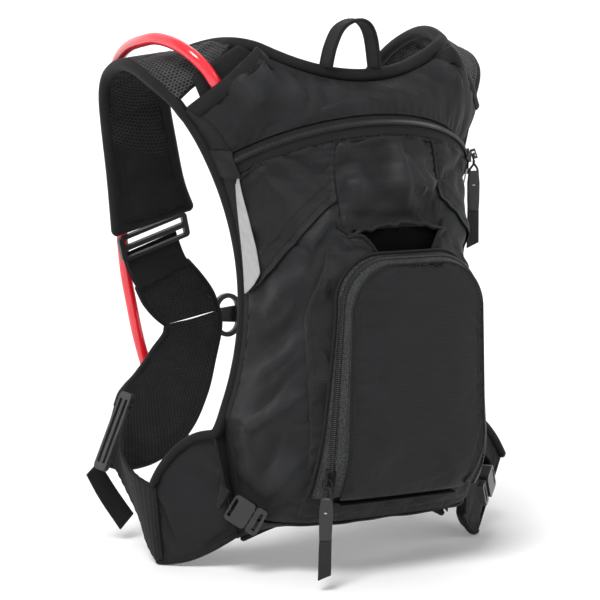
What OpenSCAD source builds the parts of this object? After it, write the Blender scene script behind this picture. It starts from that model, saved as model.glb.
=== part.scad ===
// A small hydration pack: a shaped back panel with a zipped bag, a zipped outer pocket, a
// harness that closes on the chest, hip wings, a water reservoir and a drinking hose.
// +X is to the right seen from the bag side, +Y is towards the wearer, +Z is up.

/* [Bag] */
// Half-width of the back panel at its narrowest height
waist_half_w = 92; // [88:1:96]
// Height of that narrowest place above the surface the pack stands on
waist_z = 208; // [204:1:212]
// Height of the middle of the neckline
neck_z = 383; // [380:1:386]
// Depth of the bag at its fullest, without the outer pocket
bag_depth = 62; // [58:1:64]
// Thickness of the bag's fabric and lining
fabric_t = 1.6; // [1.2:0.1:2]
// Thickness of the back panel's foam
foam_t = 10; // [8:1:11]

/* [Main zip] */
// Radius of the zip's arc in its own tilted plane
zip_r = 128; // [127:0.5:129]
// Angle from the middle of the arc to where the slider stops
zip_reach = 58; // [50:1:58]
// Radius of the zip's coil
coil_r = 1.6; // [1.4:0.1:1.7]

/* [Pocket] */
// Half-width of the pocket's face at its foot
lid_half_w = 61; // [59:1:63]
// Height of the top of the pocket's face
lid_top_z = 242; // [238:1:244]
// How far the face stands out from the back panel
lid_y = 82; // [81:0.5:84]

/* [Harness] */
// Thickness of the padded shoulder straps
strap_t = 9; // [7:1:10]
// Thickness of webbing
web_t = 1.8; // [1.4:0.1:2]
// Thickness of the chest panels' mesh
mesh_t = 4; // [3:0.5:4.5]

/* [Hose] */
// Outer diameter of the drinking hose
hose_d = 9.6; // [9:0.1:9.8]

/* [Hidden] */

black = "#1d1e20";
charcoal = "#2b2c2e";
mesh_grey = "#3a3b3d";

// The pack's own reference line lies on the back panel; this moves it to the middle of the box.
y_shift = -70;
gap = 0.4;
z_top_flare = 362;
z_low_flare = 119;
flare = 0.0018;
belly_z = 110;
panel_foot_z = 44;
zip_centre = [0, 75, 279];
zip_tilt = -31.7;
tape_up = 8.5;
tape_down = 11;

// ---------- small mathematics ----------
function mix(a, b, t) = a + (b - a) * t;
function clamp(x, low, high) = min(max(x, low), high);
function ease(t) = let (c = clamp(t, 0, 1)) c * c * (3 - 2 * c);
function unit(v) = v / norm(v);

// A smooth curve through hand-placed points: s runs from 0 to 1
function knot(a, b, c, d, t) =
    0.5 * (2 * b + (c - a) * t + (2 * a - 5 * b + 4 * c - d) * t * t
        + (3 * b - a - 3 * c + d) * t * t * t);
function curve(p, s) =
    let (n = len(p) - 1, q = clamp(s, 0, 1) * n, i = min(floor(q), n - 1))
    knot(p[max(i - 1, 0)], p[i], p[i + 1], p[min(i + 2, n)], q - i);

// The direction that a surface faces at (u, v)
function facing(face, u, v) =
    let (d = 0.01)
    unit(cross(face(min(u + d, 1), v) - face(max(u - d, 0), v),
               face(u, min(v + d, 1)) - face(u, max(v - d, 0))));

// ---------- solids from surfaces ----------
// A closed slab around the surface face(u, v), with u to the right and v up as seen from outside
module skin(nu, nv, face, above, below) {
    row = nu + 1;
    all = row * (nv + 1);
    outer = [for (j = [0:nv], i = [0:nu])
        face(i / nu, j / nv) + above * facing(face, i / nu, j / nv)];
    inner = [for (j = [0:nv], i = [0:nu])
        face(i / nu, j / nv) - below * facing(face, i / nu, j / nv)];
    sides = [for (j = [0:nv - 1], i = [0:nu - 1])
        let (a = j * row + i, b = a + 1, c = b + row, d = a + row)
        each [[a, d, c], [a, c, b], [all + a, all + c, all + d], [all + a, all + b, all + c]]];
    foot = [for (i = [0:nu - 1]) let (a = i, b = i + 1)
        each [[a, b, all + b], [a, all + b, all + a]]];
    head = [for (i = [0:nu - 1]) let (a = nv * row + i, b = a + 1)
        each [[a, all + a, all + b], [a, all + b, b]]];
    left = [for (j = [0:nv - 1]) let (a = j * row, d = a + row)
        each [[a, all + a, all + d], [a, all + d, d]]];
    right = [for (j = [0:nv - 1]) let (b = j * row + nu, c = b + row)
        each [[b, c, all + c], [b, all + c, all + b]]];
    polyhedron(points = concat(outer, inner), faces = concat(sides, foot, head, left, right));
}

// A flat strap between two edge curves
module ribbon(first, second, n, thick) {
    skin(1, n, function (u, v) mix(curve(first, v), curve(second, v), u), thick / 2, thick / 2);
}

// A round tube along a list of points, its rings turned as little as possible
module tube(p, r, sides) {
    n = len(p);
    way = [for (i = [0:n - 1]) unit(p[min(i + 1, n - 1)] - p[max(i - 1, 0)])];
    start = unit(cross(way[0], abs(way[0].x) < 0.8 ? [1, 0, 0] : [0, 1, 0]));
    norms = [for (i = 0, m = start; i < n;
        i = i + 1, m = i < n ? unit(m - way[i] * (m * way[i])) : m) m];
    rings = [for (i = [0:n - 1], k = [0:sides - 1])
        let (m = norms[i], b = cross(way[i], m), a = 360 * k / sides)
        p[i] + r * (m * cos(a) + b * sin(a))];
    wall = [for (i = [0:n - 2], k = [0:sides - 1])
        let (a = i * sides + k, b = i * sides + (k + 1) % sides)
        each [[a, a + sides, b + sides], [a, b + sides, b]]];
    first = [[for (k = [0:sides - 1]) k]];
    last = [[for (k = [sides - 1:-1:0]) (n - 1) * sides + k]];
    polyhedron(points = rings, faces = concat(wall, first, last));
}

// A rounded block, centred, with its corners rounded in plan
module pad(size, r) {
    linear_extrude(size.z, center = true)
        offset(r) square([size.x - 2 * r, size.y - 2 * r], center = true);
}

module place() {
    translate([0, y_shift, 0]) children();
}

module other_side() {
    mirror([1, 0, 0]) children();
}

// ---------- the pack's shape ----------
// Half-width of the back panel at height z
function half_w(z) =
    waist_half_w + flare * pow(clamp(z, z_low_flare, z_top_flare) - waist_z, 2)
        - 0.1 * max(z_low_flare - z, 0);
// The back panel is curved around the wearer
function back_y(x) = x * x / 380;
// Height of the neckline and of the lower edge
function neck(x) = neck_z + 0.0032 * x * x;
function hem(x) = 38 - 17 * pow(max(abs(x) - 50, 0) / 46, 1.5);
// The bag's profile on its middle line
function middle_y(z) = z > belly_z
    ? -bag_depth + 28 * pow((z - belly_z) / 236, 2)
    : -bag_depth + 18 * pow((belly_z - z) / 66, 2);
// The bag's outer surface: boxy below, rounder towards the zip and on the right
function bag_y(x, z) =
    let (e = back_y(half_w(z)), u = min(abs(x) / half_w(z), 1), k = ease((z - 195) / 95),
         p = mix(x > 0 ? 3.9 : 6, 1.9, k), q = mix(x > 0 ? 0.55 : 0.5, 0.62, k))
    e - (e - middle_y(z)) * pow(max(1 - pow(u, p), 0), q);

// A point on the zip's arc: a is the angle from its middle, rise the distance up the bag
function zip_point(a, rise) =
    let (r = zip_r - 0.3 * abs(rise),
         q = [r * sin(a), -r * cos(a), 0.94 * rise])
    zip_centre + [q.x, q.y * cos(zip_tilt) - q.z * sin(zip_tilt),
                  q.y * sin(zip_tilt) + q.z * cos(zip_tilt)];

// The bag below the zip: s runs from -1 to 1 across, v from 0 at the foot to 1 at the zip
function bag_point(s, v) =
    let (top = zip_point(57 * s, -tape_down),
         z = mix(panel_foot_z, top.z, v),
         x = half_w(z) * sin(90 * s))
    mix([x, bag_y(x, z), z], top, pow(v, 4));

// The bag above the zip: w from 0 at the zip to 1 at the neckline and the straps' roots
// At the shoulders it stands away from the back panel, which leaves a slot for the hose
slot_depth = 13;
function slot(a) = slot_depth * ease((a - 0.6) / 0.15) * (1 - 0.5 * ease((a - 0.85) / 0.15));
function top_edge(s) =
    let (a = abs(s), x = a < 0.7 ? 88 * a / 0.7 : mix(88, 134, (a - 0.7) / 0.3),
         z = a < 0.7 ? neck(x) - 7 : mix(neck(88) - 7, 353, (a - 0.7) / 0.3))
    [sign(s) * x, back_y(x) - 2.5 - slot(a), z];
function upper_point(s, w) =
    mix(zip_point(57 * s, tape_up), top_edge(s), w) + [0, -5 * sin(180 * w), 3 * sin(180 * w)];

// ---------- back ----------
function back_half(z) = z < 355 ? half_w(z) : mix(half_w(355), 92, (z - 355) / 50);
function back_point(u, v) =
    let (z = mix(30, 395, v), x = (2 * u - 1) * (back_half(z) - 4))
    [x, back_y(x), mix(hem(x), neck(x) - 7, v)];

module back_panel() {
    color(black) place() skin(14, 14, function (u, v) back_point(u, v), 0, foam_t);
}

module back_mesh() {
    inner = foam_t + gap;
    color(mesh_grey) place()
        skin(12, 12, function (u, v) back_point(mix(0.06, 0.94, u), mix(0.04, 0.96, v)),
             -inner, inner + 3);
}

// The bound edge along the neckline
module neck_binding() {
    reach = 86;
    color(black) place()
        skin(14, 1, function (u, v) let (x = reach * (2 * u - 1))
            [x, back_y(x) - 3, neck(x) - 6.4 * (1 - v)], 0, foam_t + 4);
}

module side_binding() {
    rows = 16;
    route = [for (i = [0:rows]) let (z = mix(112, 346, i / rows))
        [half_w(z) + 0.9, back_y(half_w(z)) + 3.4, z]];
    tube(route, 3.4, 8);
}

module binding_left() {
    color(black) place() other_side() side_binding();
}

module binding_right() {
    color(black) place() side_binding();
}

// ---------- bag panels ----------
module upper_panel() {
    color(charcoal) place()
        skin(28, 4, function (u, v) upper_point(mix(-0.985, 0.985, u), v), 0, fabric_t);
}

// The broad bound edge of the shoulder slot
module shoulder_binding() {
    skin(8, 1, function (u, v) upper_point(mix(0.7, 0.975, u), mix(0.78, 1, v)), 3, -0.5);
}

module shoulder_binding_left() {
    color(black) place() other_side() shoulder_binding();
}

module shoulder_binding_right() {
    color(black) place() shoulder_binding();
}

seam_s = 0.33;
edge_s = 0.965;

module front_panel() {
    color(charcoal) place()
        skin(8, 14, function (u, v) bag_point(seam_s * (2 * u - 1), v), 0, fabric_t);
}

module side_panel(from, to) {
    skin(9, 14, function (u, v) bag_point(mix(from, to, u), v), 0, fabric_t);
}

module side_panel_left() {
    color(black) place() side_panel(-edge_s, -seam_s - 0.004);
}

module side_panel_right() {
    color(black) place() side_panel(seam_s + 0.004, edge_s);
}

// The floor of the bag, from the foot of the panels to the back panel
module bottom_panel() {
    color(black) place()
        skin(12, 3, function (u, v)
            let (p = bag_point(edge_s * (2 * u - 1), 0), drop = 2.2,
                 q = [p.x, back_y(p.x) - 2, hem(p.x) + 3])
            mix([p.x, p.y + 0.5, p.z - drop], q, 1 - v), 0, fabric_t);
}

// The panel in front of the bag that makes the open-topped stash space; the pocket is sewn to it
stash_top = 262;
stash_room = 10;
function stash_y(x, z) = bag_y(x, z) - mix(1.2, stash_room, ease((z - 60) / 150));

module stash_panel() {
    color(charcoal) place()
        skin(14, 12, function (u, v)
            let (z = mix(50, stash_top, v), half = mix(80, 52, ease((z - 190) / 80)),
                 x = half * (2 * u - 1))
            [x, stash_y(x, z), z], fabric_t, 0);
}

module reflective(from, to, bow) {
    skin(1, 12, function (u, v)
        bag_point(mix(from, to, u) + bow * sin(180 * v), mix(0.62, 0.96, v)), 1.9, -1.1);
}

module reflective_left() {
    color("#c9ccce") place() reflective(-0.945, -0.895, 0.1);
}

module reflective_right() {
    color("#c9ccce") place() reflective(0.895, 0.945, -0.1);
}

module haul_loop() {
    legs = [[-32, 1, 387], [-29, -1, 403], [-22, -2, 417], [-10, -2, 423],
            [0, -2, 421], [7, -1, 410], [12, 1, 386]];
    color(black) place()
        ribbon([for (p = legs) p + [0, 10, 0]], [for (p = legs) p + [0, -8, 0]], 18, 2.2);
}

// ---------- main zip ----------
module in_zip_plane() {
    translate(zip_centre) rotate([zip_tilt, 0, 0]) children();
}

module main_zip_coil() {
    reach = 61;
    color(black) place() in_zip_plane() rotate([0, 0, -90 - reach])
        rotate_extrude(angle = 2 * reach, $fn = 96) translate([zip_r, 0]) circle(coil_r, $fn = 16);
}

slider_gap = 0.6;
slider_wall = 1.2;
bridge_rise = 3;
// A slider that caps the coil: drawn for a coil along Z, outside towards +X
module slider_shape(length, bridge_turn = 0) {
    hollow = coil_r + slider_gap;
    half = hollow + slider_wall;
    linear_extrude(length, center = true) difference() {
        translate([-0.6, -half]) square([half + 0.6, 2 * half]);
        circle(hollow, $fn = 24);
        translate([-4, -hollow]) square([4, 2 * hollow]);
    }
    translate([half + 0.3, 0, 0]) cube([2.4, 2.4, 2.4], center = true);
    translate([half + bridge_rise, 0, 0]) rotate([bridge_turn, 0, 0]) rotate([90, 0, 0])
        linear_extrude(2.4, center = true) difference() {
            square([4.4, 8], center = true);
            square([2.4, 5.2], center = true);
        }
}

// A zip pull: a ring through the slider's bridge, a moulded neck and a tapered tab, hanging to -Z
module pull_shape(length) {
    bar_r = 0.6;
    rotate([90, 0, 0]) cylinder(h = 8, r = bar_r, center = true, $fn = 16);
    for (side = [-1, 1])
        translate([0, side * 4, -4]) cube([2 * bar_r, 1.2, 9.2], center = true);
    translate([0, 0, -12]) cube([3, 9.2, 7.4], center = true);
    translate([0, 0, -15.4]) rotate([90, 0, 90]) linear_extrude(2.4, center = true)
        polygon([[-4.5, 0], [4.5, 0], [6, 16 - length], [4, 14.5 - length],
                 [-4, 14.5 - length], [-6, 16 - length]]);
}

main_rest = zip_reach;
main_at = zip_point(main_rest, 0);
slider_out = coil_r + slider_gap + slider_wall + bridge_rise;
main_out = [sin(main_rest), -cos(main_rest) * cos(zip_tilt), -cos(main_rest) * sin(zip_tilt)];
main_way = [cos(main_rest), sin(main_rest) * cos(zip_tilt), sin(main_rest) * sin(zip_tilt)];
main_pivot = main_at + slider_out * main_out;
main_turn = atan2(main_way.y, main_way.x) - 90;

module main_slider() {
    color(black) place() in_zip_plane() rotate([0, 0, main_rest - 90])
        translate([zip_r, 0, 0]) rotate([90, 0, 0]) slider_shape(13, 90);
}

module main_pull() {
    color(black) place() translate(main_pivot) rotate([0, 0, main_turn]) pull_shape(66);
}

// ---------- pocket ----------
// The pocket's right lower corner is cut back; k runs up the side from the foot
function foot_tuck(k) = 14 * pow(max(1 - k / 0.34, 0), 2);
// The pocket's face curves back towards the bag at its foot
function face_y(z) = -lid_y + 14 * pow(max(108 - z, 0) / 43, 2);

// An upside-down U seen from the front: t runs from 0 at the left foot to 1 at the right foot
function arch(half_foot, half_top, foot, top, r, t) =
    let (m = t > 0.5 ? 1 - t : t, s = t > 0.5 ? 1 : -1, tuck = s > 0 ? foot_tuck(m / 0.34) : 0,
         p = m < 0.34 ? [mix(half_foot, half_top, m / 0.34) - tuck, mix(foot, top - r, m / 0.34)]
           : m < 0.44 ? let (a = 90 * (m - 0.34) / 0.1)
                 [half_top - r + r * cos(a), top - r + r * sin(a)]
           : [mix(half_top - r, 0, (m - 0.44) / 0.06), top])
    [s * p.x, p.y];

lid_foot_z = 65;
lid_r = 36;
base_foot_z = 61;
function base_rim(t) =
    let (p = arch(80, 63, base_foot_z, lid_top_z + 8, 38, t))
    [p.x, stash_y(p.x, p.y) - fabric_t - 1.4, p.y];
function face_rim(t) =
    let (p = arch(lid_half_w, 57, lid_foot_z, lid_top_z, lid_r, t)) [p.x, face_y(p.y), p.y];
coil_share = 0.42;
coil_y = 71;
function coil_line(t) =
    let (m = mix(base_rim(t), face_rim(t), coil_share))
    [m.x, -coil_y + 5 * pow(max(82 - m.z, 0) / 18, 2), m.z];
// A bare strip is left on each side of the coil, where the slider runs
coil_strip = 4.2;
function short_of_coil(from, t) =
    let (to = coil_line(t)) to + coil_strip * unit(from - to);

module pocket_gusset() {
    color(black) place() {
        skin(30, 1, function (u, v)
            let (t = 1 - u, rim = base_rim(t)) mix(short_of_coil(rim, t), rim, v), 0, 1.4);
        skin(10, 2, function (u, v)
            let (x = mix(-58, 45, u), back = stash_y(x, 60) - fabric_t - 1)
            [x, mix(face_y(lid_foot_z) + 1.5, back, 1 - v), 59.5], 1.4, 0);
    }
}

module pocket_coil() {
    color(black) place() tube([for (i = [0:40]) coil_line(i / 40)], coil_r, 8);
}

function face_half(z) =
    let (r = lid_r, top = lid_top_z, side = mix(lid_half_w, 57, (z - lid_foot_z) / (top - r - lid_foot_z)))
    z < top - r ? side : 57 - r + sqrt(max(r * r - pow(z - top + r, 2), 0)) + 0.5;

module pocket_lid() {
    foot = 66;
    color(charcoal) place() {
        skin(12, 14, function (u, v)
            let (z = mix(foot, lid_top_z - 0.6, 1 - pow(1 - v, 1.5)), a = 2 * u - 1,
                 k = (z - lid_foot_z) / (lid_top_z - lid_r - lid_foot_z))
            [(face_half(z) - (a > 0 ? foot_tuck(k) : 0)) * a, face_y(z) - 4 * (1 - pow(a, 4)), z],
            0, 2);
        skin(30, 1, function (u, v)
            let (t = mix(0.985, 0.015, u), rim = face_rim(t) + [0, 1.2, 0])
            mix(rim, short_of_coil(rim, t), v), 0, 1.4);
    }
}

pocket_rest = 0.05;
pocket_at = coil_line(pocket_rest);
pocket_way = unit(coil_line(0.33) - coil_line(pocket_rest));
pocket_out = unit(cross(face_rim(0.2) - base_rim(0.2), pocket_way));
pocket_turn = atan2(pocket_out.y, pocket_out.x);
pocket_pivot = pocket_at + slider_out * pocket_out;

module pocket_slider() {
    color(black) place() translate(pocket_at) multmatrix([
        [pocket_out.x, cross(pocket_way, pocket_out).x, pocket_way.x, 0],
        [pocket_out.y, cross(pocket_way, pocket_out).y, pocket_way.y, 0],
        [pocket_out.z, cross(pocket_way, pocket_out).z, pocket_way.z, 0],
        [0, 0, 0, 1]]) slider_shape(13);
}

module pocket_pull() {
    lean = 4;
    color(black) place() translate(pocket_pivot) rotate([0, 0, pocket_turn])
        rotate([0, -lean, 0]) pull_shape(74);
}

// ---------- hip wings and side closure ----------
wing_top = [[-116, 26, 106], [-125, 37, 104], [-136, 47, 95], [-147, 55, 80], [-152, 61, 66]];
wing_foot = [[-105, 10, 14], [-117, 24, 4], [-130, 40, 4], [-140, 52, 3], [-148, 60, 2]];
// The right wing is splayed further forwards; it is drawn on the left and mirrored
right_wing_top = [[-116, 26, 106], [-128, 34, 100], [-142, 38, 90], [-155, 40, 76], [-163, 40, 62]];
right_wing_foot = [[-105, 10, 14], [-111, 14, 4], [-117, 18, 4], [-123, 21, 3], [-129, 24, 2]];

module wing(top, foot) {
    difference() {
        skin(8, 8, function (u, v)
            mix(curve(top, 1 - u), curve(foot, 1 - u) - [0, 0, 6], 1 - v), 0, 8);
        translate([-200, -50, -20]) cube([200, 200, 20]);
    }
}

module wing_left() {
    color(charcoal) place() wing(wing_top, wing_foot);
}

module wing_right() {
    color(charcoal) place() other_side() wing(right_wing_top, right_wing_foot);
}

module elastic_band_left() {
    color(black) place()
        ribbon([[-154, 64, 60], [-159, 78, 59], [-162, 94, 66], [-159, 110, 82],
                [-149, 119, 102], [-141, 124, 116]],
               [[-149, 63, 4], [-150, 77, 15], [-149, 92, 32], [-152, 107, 50],
                [-156, 117, 64], [-160, 124, 76]], 14, 2.4);
}

module elastic_band_right() {
    color(black) place() other_side()
        ribbon([[-165, 46, 60], [-166, 59, 62], [-166, 78, 68], [-162, 100, 80],
                [-151, 116, 101], [-141, 124, 116]],
               [[-132, 30.5, 3], [-139, 43, 4], [-146, 66, 10], [-152, 92, 34],
                [-157, 112, 58], [-160, 124, 76]], 14, 2.4);
}

// A slotted bar that joins the elastic band to the chest panel's tail
slider_at = [-151, 134, 95];
slider_lean = 23;

module side_slider() {
    translate(slider_at) rotate([0, slider_lean, 0]) rotate([0, 0, 10]) difference() {
        rotate([0, 90, 0]) pad([66, 16, 4], 4);
        for (y = [-3.6, 3.6])
            translate([0, y, 0]) cube([12, 3.4, 54], center = true);
    }
}

module side_slider_left() {
    color("#8b8d90") place() side_slider();
}

module side_slider_right() {
    color("#8b8d90") place() other_side() side_slider();
}

// The free tail of the band, behind the slider
module side_tail() {
    ribbon([[-157, 151, 68], [-142, 151, 44], [-127, 150, 22]],
           [[-168, 151, 58], [-156, 151, 36], [-139, 150, 10]], 6, 2.4);
}

module side_tail_left() {
    color(black) place() side_tail();
}

module side_tail_right() {
    color(black) place() other_side() side_tail();
}

// Compression strap: webbing from the bag to a side release buckle on the wing
buckle_at = [-113.5, -10, 53];

module in_buckle() {
    translate(buckle_at) rotate([0, 31, -40]) children();
}

module buckle_body() {
    in_buckle() difference() {
        rotate([90, 0, 0]) pad([18, 22, 8], 3);
        translate([6, 0, 0]) cube([24, 5, 15], center = true);
        translate([-6.2, 0, 0]) cube([2.6, 12, 15], center = true);
    }
}

module buckle_clip() {
    in_buckle() {
        translate([5.5, 0, 0]) for (z = [-5.4, 5.4])
            translate([0, 0, z]) cube([12, 3.6, 2.4], center = true);
        translate([5.5, 0, 0]) cube([14, 3.6, 3], center = true);
        translate([14.5, 0, 0]) difference() {
            rotate([90, 0, 0]) pad([9, 22, 5], 2);
            translate([1, 0, 0]) cube([2.6, 12, 15], center = true);
        }
    }
}

module side_web() {
    ribbon([[-120, -4.5, 67.5], [-121, 4, 71], [-116.5, 13.5, 74]],
           [[-126, 0.5, 53.5], [-124, 8, 55], [-117.5, 15.5, 58]], 4, web_t);
}

module buckle_body_left() { color(black) place() buckle_body(); }
module buckle_body_right() { color(black) place() other_side() buckle_body(); }
module buckle_clip_left() { color(black) place() buckle_clip(); }
module buckle_clip_right() { color(black) place() other_side() buckle_clip(); }
module side_web_left() { color(black) place() side_web(); }
module side_web_right() { color(black) place() other_side() side_web(); }

// ---------- harness ----------
strap_inner = [[-95, 31, 405], [-97, 57, 405], [-101, 90, 400], [-102, 125, 392], [-97, 150, 376],
               [-88, 165, 353], [-78, 175, 326], [-63, 190, 290], [-50, 199, 268]];
strap_outer = [[-135, 51, 361], [-144, 68, 374], [-148, 95, 386], [-148, 120, 389],
               [-145, 150, 381], [-142, 165, 366], [-136, 175, 341], [-124, 190, 296],
               [-116, 199, 250]];

// The right strap stands a little higher over its shoulder
right_inner = [[-95, 31, 405], [-101, 57, 413], [-107, 90, 413], [-106, 125, 401], [-99, 150, 379],
               [-88, 165, 353], [-78, 175, 326], [-63, 190, 290], [-50, 199, 268]];
right_outer = [[-135, 51, 361], [-150, 66, 381], [-158, 93, 394], [-156, 120, 394], [-149, 150, 383],
               [-142, 165, 366], [-136, 175, 341], [-124, 190, 296], [-116, 199, 250]];

module shoulder_strap_left() {
    color(black) place() ribbon(strap_inner, strap_outer, 28, strap_t);
}

module shoulder_strap_right() {
    color(black) place() other_side() ribbon(right_inner, right_outer, 28, strap_t);
}

// The three-bar loop at the strap's end, which slides on the adjuster webbing
loop_at = [-79, 205, 243];
loop_tilt = 18;

module in_loop() {
    translate(loop_at) rotate([0, -loop_tilt, 0]) rotate([12, 0, 0]) children();
}

module strap_loop() {
    in_loop() rotate([90, 0, 0]) difference() {
        pad([66, 22, 4], 3);
        for (y = [-5, 5]) translate([0, y, 0]) cube([57, 6, 6], center = true);
    }
}

module strap_loop_left() {
    color("#111214") place() strap_loop();
}

module strap_loop_right() {
    color("#111214") place() other_side() strap_loop();
}

module adjuster_web() {
    ribbon([[-55, 212, 246], [-52, 212, 235], [-49, 211, 225]],
           [[-104, 212, 229], [-100, 212, 217], [-95, 211, 207]], 4, web_t);
}

module adjuster_web_left() {
    color(black) place() adjuster_web();
}

module adjuster_web_right() {
    color(black) place() other_side() adjuster_web();
}

// The chest panel: an upper arm from the strap, a point at the buckle and a lower arm to the side
module chest_mesh() {
    ribbon([[-45, 211, 220], [-32, 213, 207], [-20, 215, 192], [-13, 216, 176]],
           [[-92, 210, 200], [-84, 212, 186], [-73, 213, 174], [-64, 213, 167]], 8, mesh_t);
    ribbon([[-12.6, 216, 175], [-12, 215, 160], [-20, 211, 135], [-34, 200, 107], [-58, 185, 80],
            [-94, 169, 62], [-132, 155, 60], [-159, 146, 70]],
           [[-63.6, 213, 166], [-66, 212, 158], [-78, 208, 147], [-92, 198, 137], [-106, 187, 129],
            [-121, 173, 124], [-134, 158, 120], [-143, 146, 114]], 18, mesh_t);
}

module chest_mesh_left() {
    color(mesh_grey) place() chest_mesh();
}

module chest_mesh_right() {
    color(mesh_grey) place() other_side() chest_mesh();
}

// Oval ring on the left chest panel, and the hook that closes on it
ring_at = [-1, 221, 170];

module oval(w, h) {
    hull() for (s = [-1, 1]) translate([0, s * (h - w) / 2]) circle(w / 2, $fn = 32);
}

module chest_ring() {
    color("#141518") place() translate(ring_at) rotate([90, 0, 0])
        linear_extrude(4, center = true) difference() {
            oval(25, 38);
            oval(17, 30);
        }
}

module chest_hook() {
    color(black) place() translate(ring_at) {
        translate([1, 3.6, 0]) rotate([90, 0, 0]) linear_extrude(2.4, center = true) {
            hull() {
                translate([-5, 0]) circle(6, $fn = 24);
                translate([17, 0]) square([2, 16], center = true);
            }
        }
        translate([19, 3.6, 0]) cylinder(h = 22, r = 2.2, center = true, $fn = 24);
        translate([-6, 0.2, 0]) cube([3, 4.6, 9], center = true);
    }
}

// ---------- water ----------
module reservoir_sleeve() {
    color(charcoal) place()
        skin(8, 6, function (u, v) [76 * (2 * u - 1), -27 + 3 * pow(2 * u - 1, 2), mix(52, 225, v)],
             0, 1.2);
}

module reservoir_bag() {
    thick = 9;
    color("#7fa6b8") place() translate([0, -3 - thick / 2, 0]) {
        difference() {
            rotate([90, 0, 0]) linear_extrude(thick, center = true)
                translate([0, 170]) offset(18) square([112, 184], center = true);
            translate([0, 0, 268]) rotate([90, 0, 0]) linear_extrude(20, center = true)
                offset(2) square([32, 8], center = true);
        }
        translate([0, -thick / 2 + 0.5, cap_at.z]) rotate([90, 0, 0]) difference() {
            cylinder(h = 6, r = 29.4, $fn = 64);
            translate([0, 0, 1]) cylinder(h = 6, r = 26, $fn = 64);
        }
    }
}

cap_at = [0, -12.4, 222];

module reservoir_cap() {
    grips = 16;
    color("#2f6f86") place() translate(cap_at) rotate([90, 0, 0]) difference() {
        cylinder(h = 10, r = 33, $fn = 64);
        translate([0, 0, -1]) cylinder(h = 7, r = 30, $fn = 64);
        for (i = [0:grips - 1]) rotate(i * 360 / grips) translate([35, 0, 3])
            cylinder(h = 9, r = 4, $fn = 16);
    }
}

// The clip that hangs the reservoir from the top of the bag
module hang_clip() {
    color(black) place() translate([0, -1.55, 298]) rotate([90, 0, 0])
        linear_extrude(2.2, center = true) difference() {
            offset(4) square([16, 64], center = true);
            offset(2) square([9, 56], center = true);
        }
}

// The outlet fitting at the foot of the reservoir
elbow_at = [-40, -18, 84];

module reservoir_elbow() {
    color("#2f6f86") place() translate(elbow_at) {
        rotate([-90, 0, 0]) cylinder(h = 5.2, r = 9, $fn = 32);
        cylinder(h = 16, r = 4.6, $fn = 32);
        sphere(4.6, $fn = 24);
    }
}

// ---------- hose ----------
inner_route = [[-40, -18, 101], [-44, -18, 140], [-52, -18, 190], [-61, -18, 235],
               [-67, -19, 266], [-74, -9, 298], [-84, 9, 330], [-92, 16, 346], [-102, 21, 359],
               [-109, 26, 369]];
hose_route = [[-109, 26, 369], [-115, 28, 378], [-120, 32, 387], [-127, 41, 397], [-133, 57, 405],
              [-138, 78, 409], [-140, 100, 407], [-139, 124, 403], [-136, 147, 395],
              [-132, 167, 381], [-127, 182, 359], [-121, 193, 330], [-114, 202, 298],
              [-108, 209.5, 266], [-103, 216, 240], [-98, 220.5, 212], [-92, 222, 184],
              [-86, 222, 156], [-78, 221, 128], [-69, 219, 104], [-61, 216, 84], [-53, 214, 70]];
hose_end = [-53, 214, 70];

module hose_inner() {
    color("#d3131f") place() tube([for (i = [0:14]) curve(inner_route, i / 14)], 4.6, 8);
}

module drink_hose() {
    color("#d3131f") place() tube([for (i = [0:44]) curve(hose_route, i / 44)], hose_d / 2, 10);
}

// Elastic loops that hold the hose to the strap
module hose_keeper() {
    color(black) place() for (s = [0.5, 0.6]) {
        at = curve(hose_route, s);
        way = unit(curve(hose_route, s + 0.01) - curve(hose_route, s - 0.01));
        translate(at) rotate([acos(way.z), 0, atan2(way.y, way.x) + 90]) difference() {
            cylinder(h = 16, r = hose_d / 2 + 2, center = true, $fn = 32);
            cylinder(h = 20, r = hose_d / 2 + 0.5, center = true, $fn = 32);
        }
    }
}

valve_way = unit([11, -3, -12]);
valve_turn = [acos(valve_way.z), 0, atan2(valve_way.y, valve_way.x) + 90];

module in_valve() {
    translate(hose_end) rotate(valve_turn) children();
}

module bite_valve() {
    color("#2b2d30") place() in_valve() {
        translate([0, 0, 0.2]) cylinder(h = 20, r = 7, $fn = 48);
        translate([0, 0, 20.2]) cylinder(h = 4, r = 5.4, $fn = 48);
    }
}

module mouthpiece() {
    color("#9fa3a6") place() in_valve() translate([0, 0, 24.5]) {
        cylinder(h = 3, r = 8, $fn = 48);
        translate([0, 0, 3]) cylinder(h = 15, r = 6, $fn = 48);
    }
}

module shutoff_lever() {
    color("#9fa3a6") place() in_valve() translate([0, 0, 11]) rotate([90, 0, 0]) {
        translate([0, 0, 7.3]) cylinder(h = 2.4, r = 4.4, $fn = 32);
        translate([0, -5, 8.5]) cube([4, 12, 2.4], center = true);
    }
}

back_panel();
back_mesh();
neck_binding();
binding_left();
binding_right();
upper_panel();
front_panel();
side_panel_left();
side_panel_right();
bottom_panel();
stash_panel();
main_zip_coil();
main_slider();
main_pull();
pocket_gusset();
pocket_coil();
pocket_lid();
pocket_slider();
pocket_pull();
reflective_left();
reflective_right();
haul_loop();
wing_left();
wing_right();
elastic_band_left();
elastic_band_right();
shoulder_strap_left();
shoulder_strap_right();
strap_loop_left();
strap_loop_right();
adjuster_web_left();
adjuster_web_right();
chest_mesh_left();
chest_mesh_right();
chest_ring();
chest_hook();
side_slider_left();
side_slider_right();
side_tail_left();
side_tail_right();
side_web_left();
side_web_right();
buckle_body_left();
buckle_body_right();
buckle_clip_left();
buckle_clip_right();
reservoir_sleeve();
reservoir_bag();
reservoir_cap();
hang_clip();
reservoir_elbow();
hose_inner();
shoulder_binding_left();
shoulder_binding_right();
drink_hose();
hose_keeper();
bite_valve();
mouthpiece();
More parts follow.
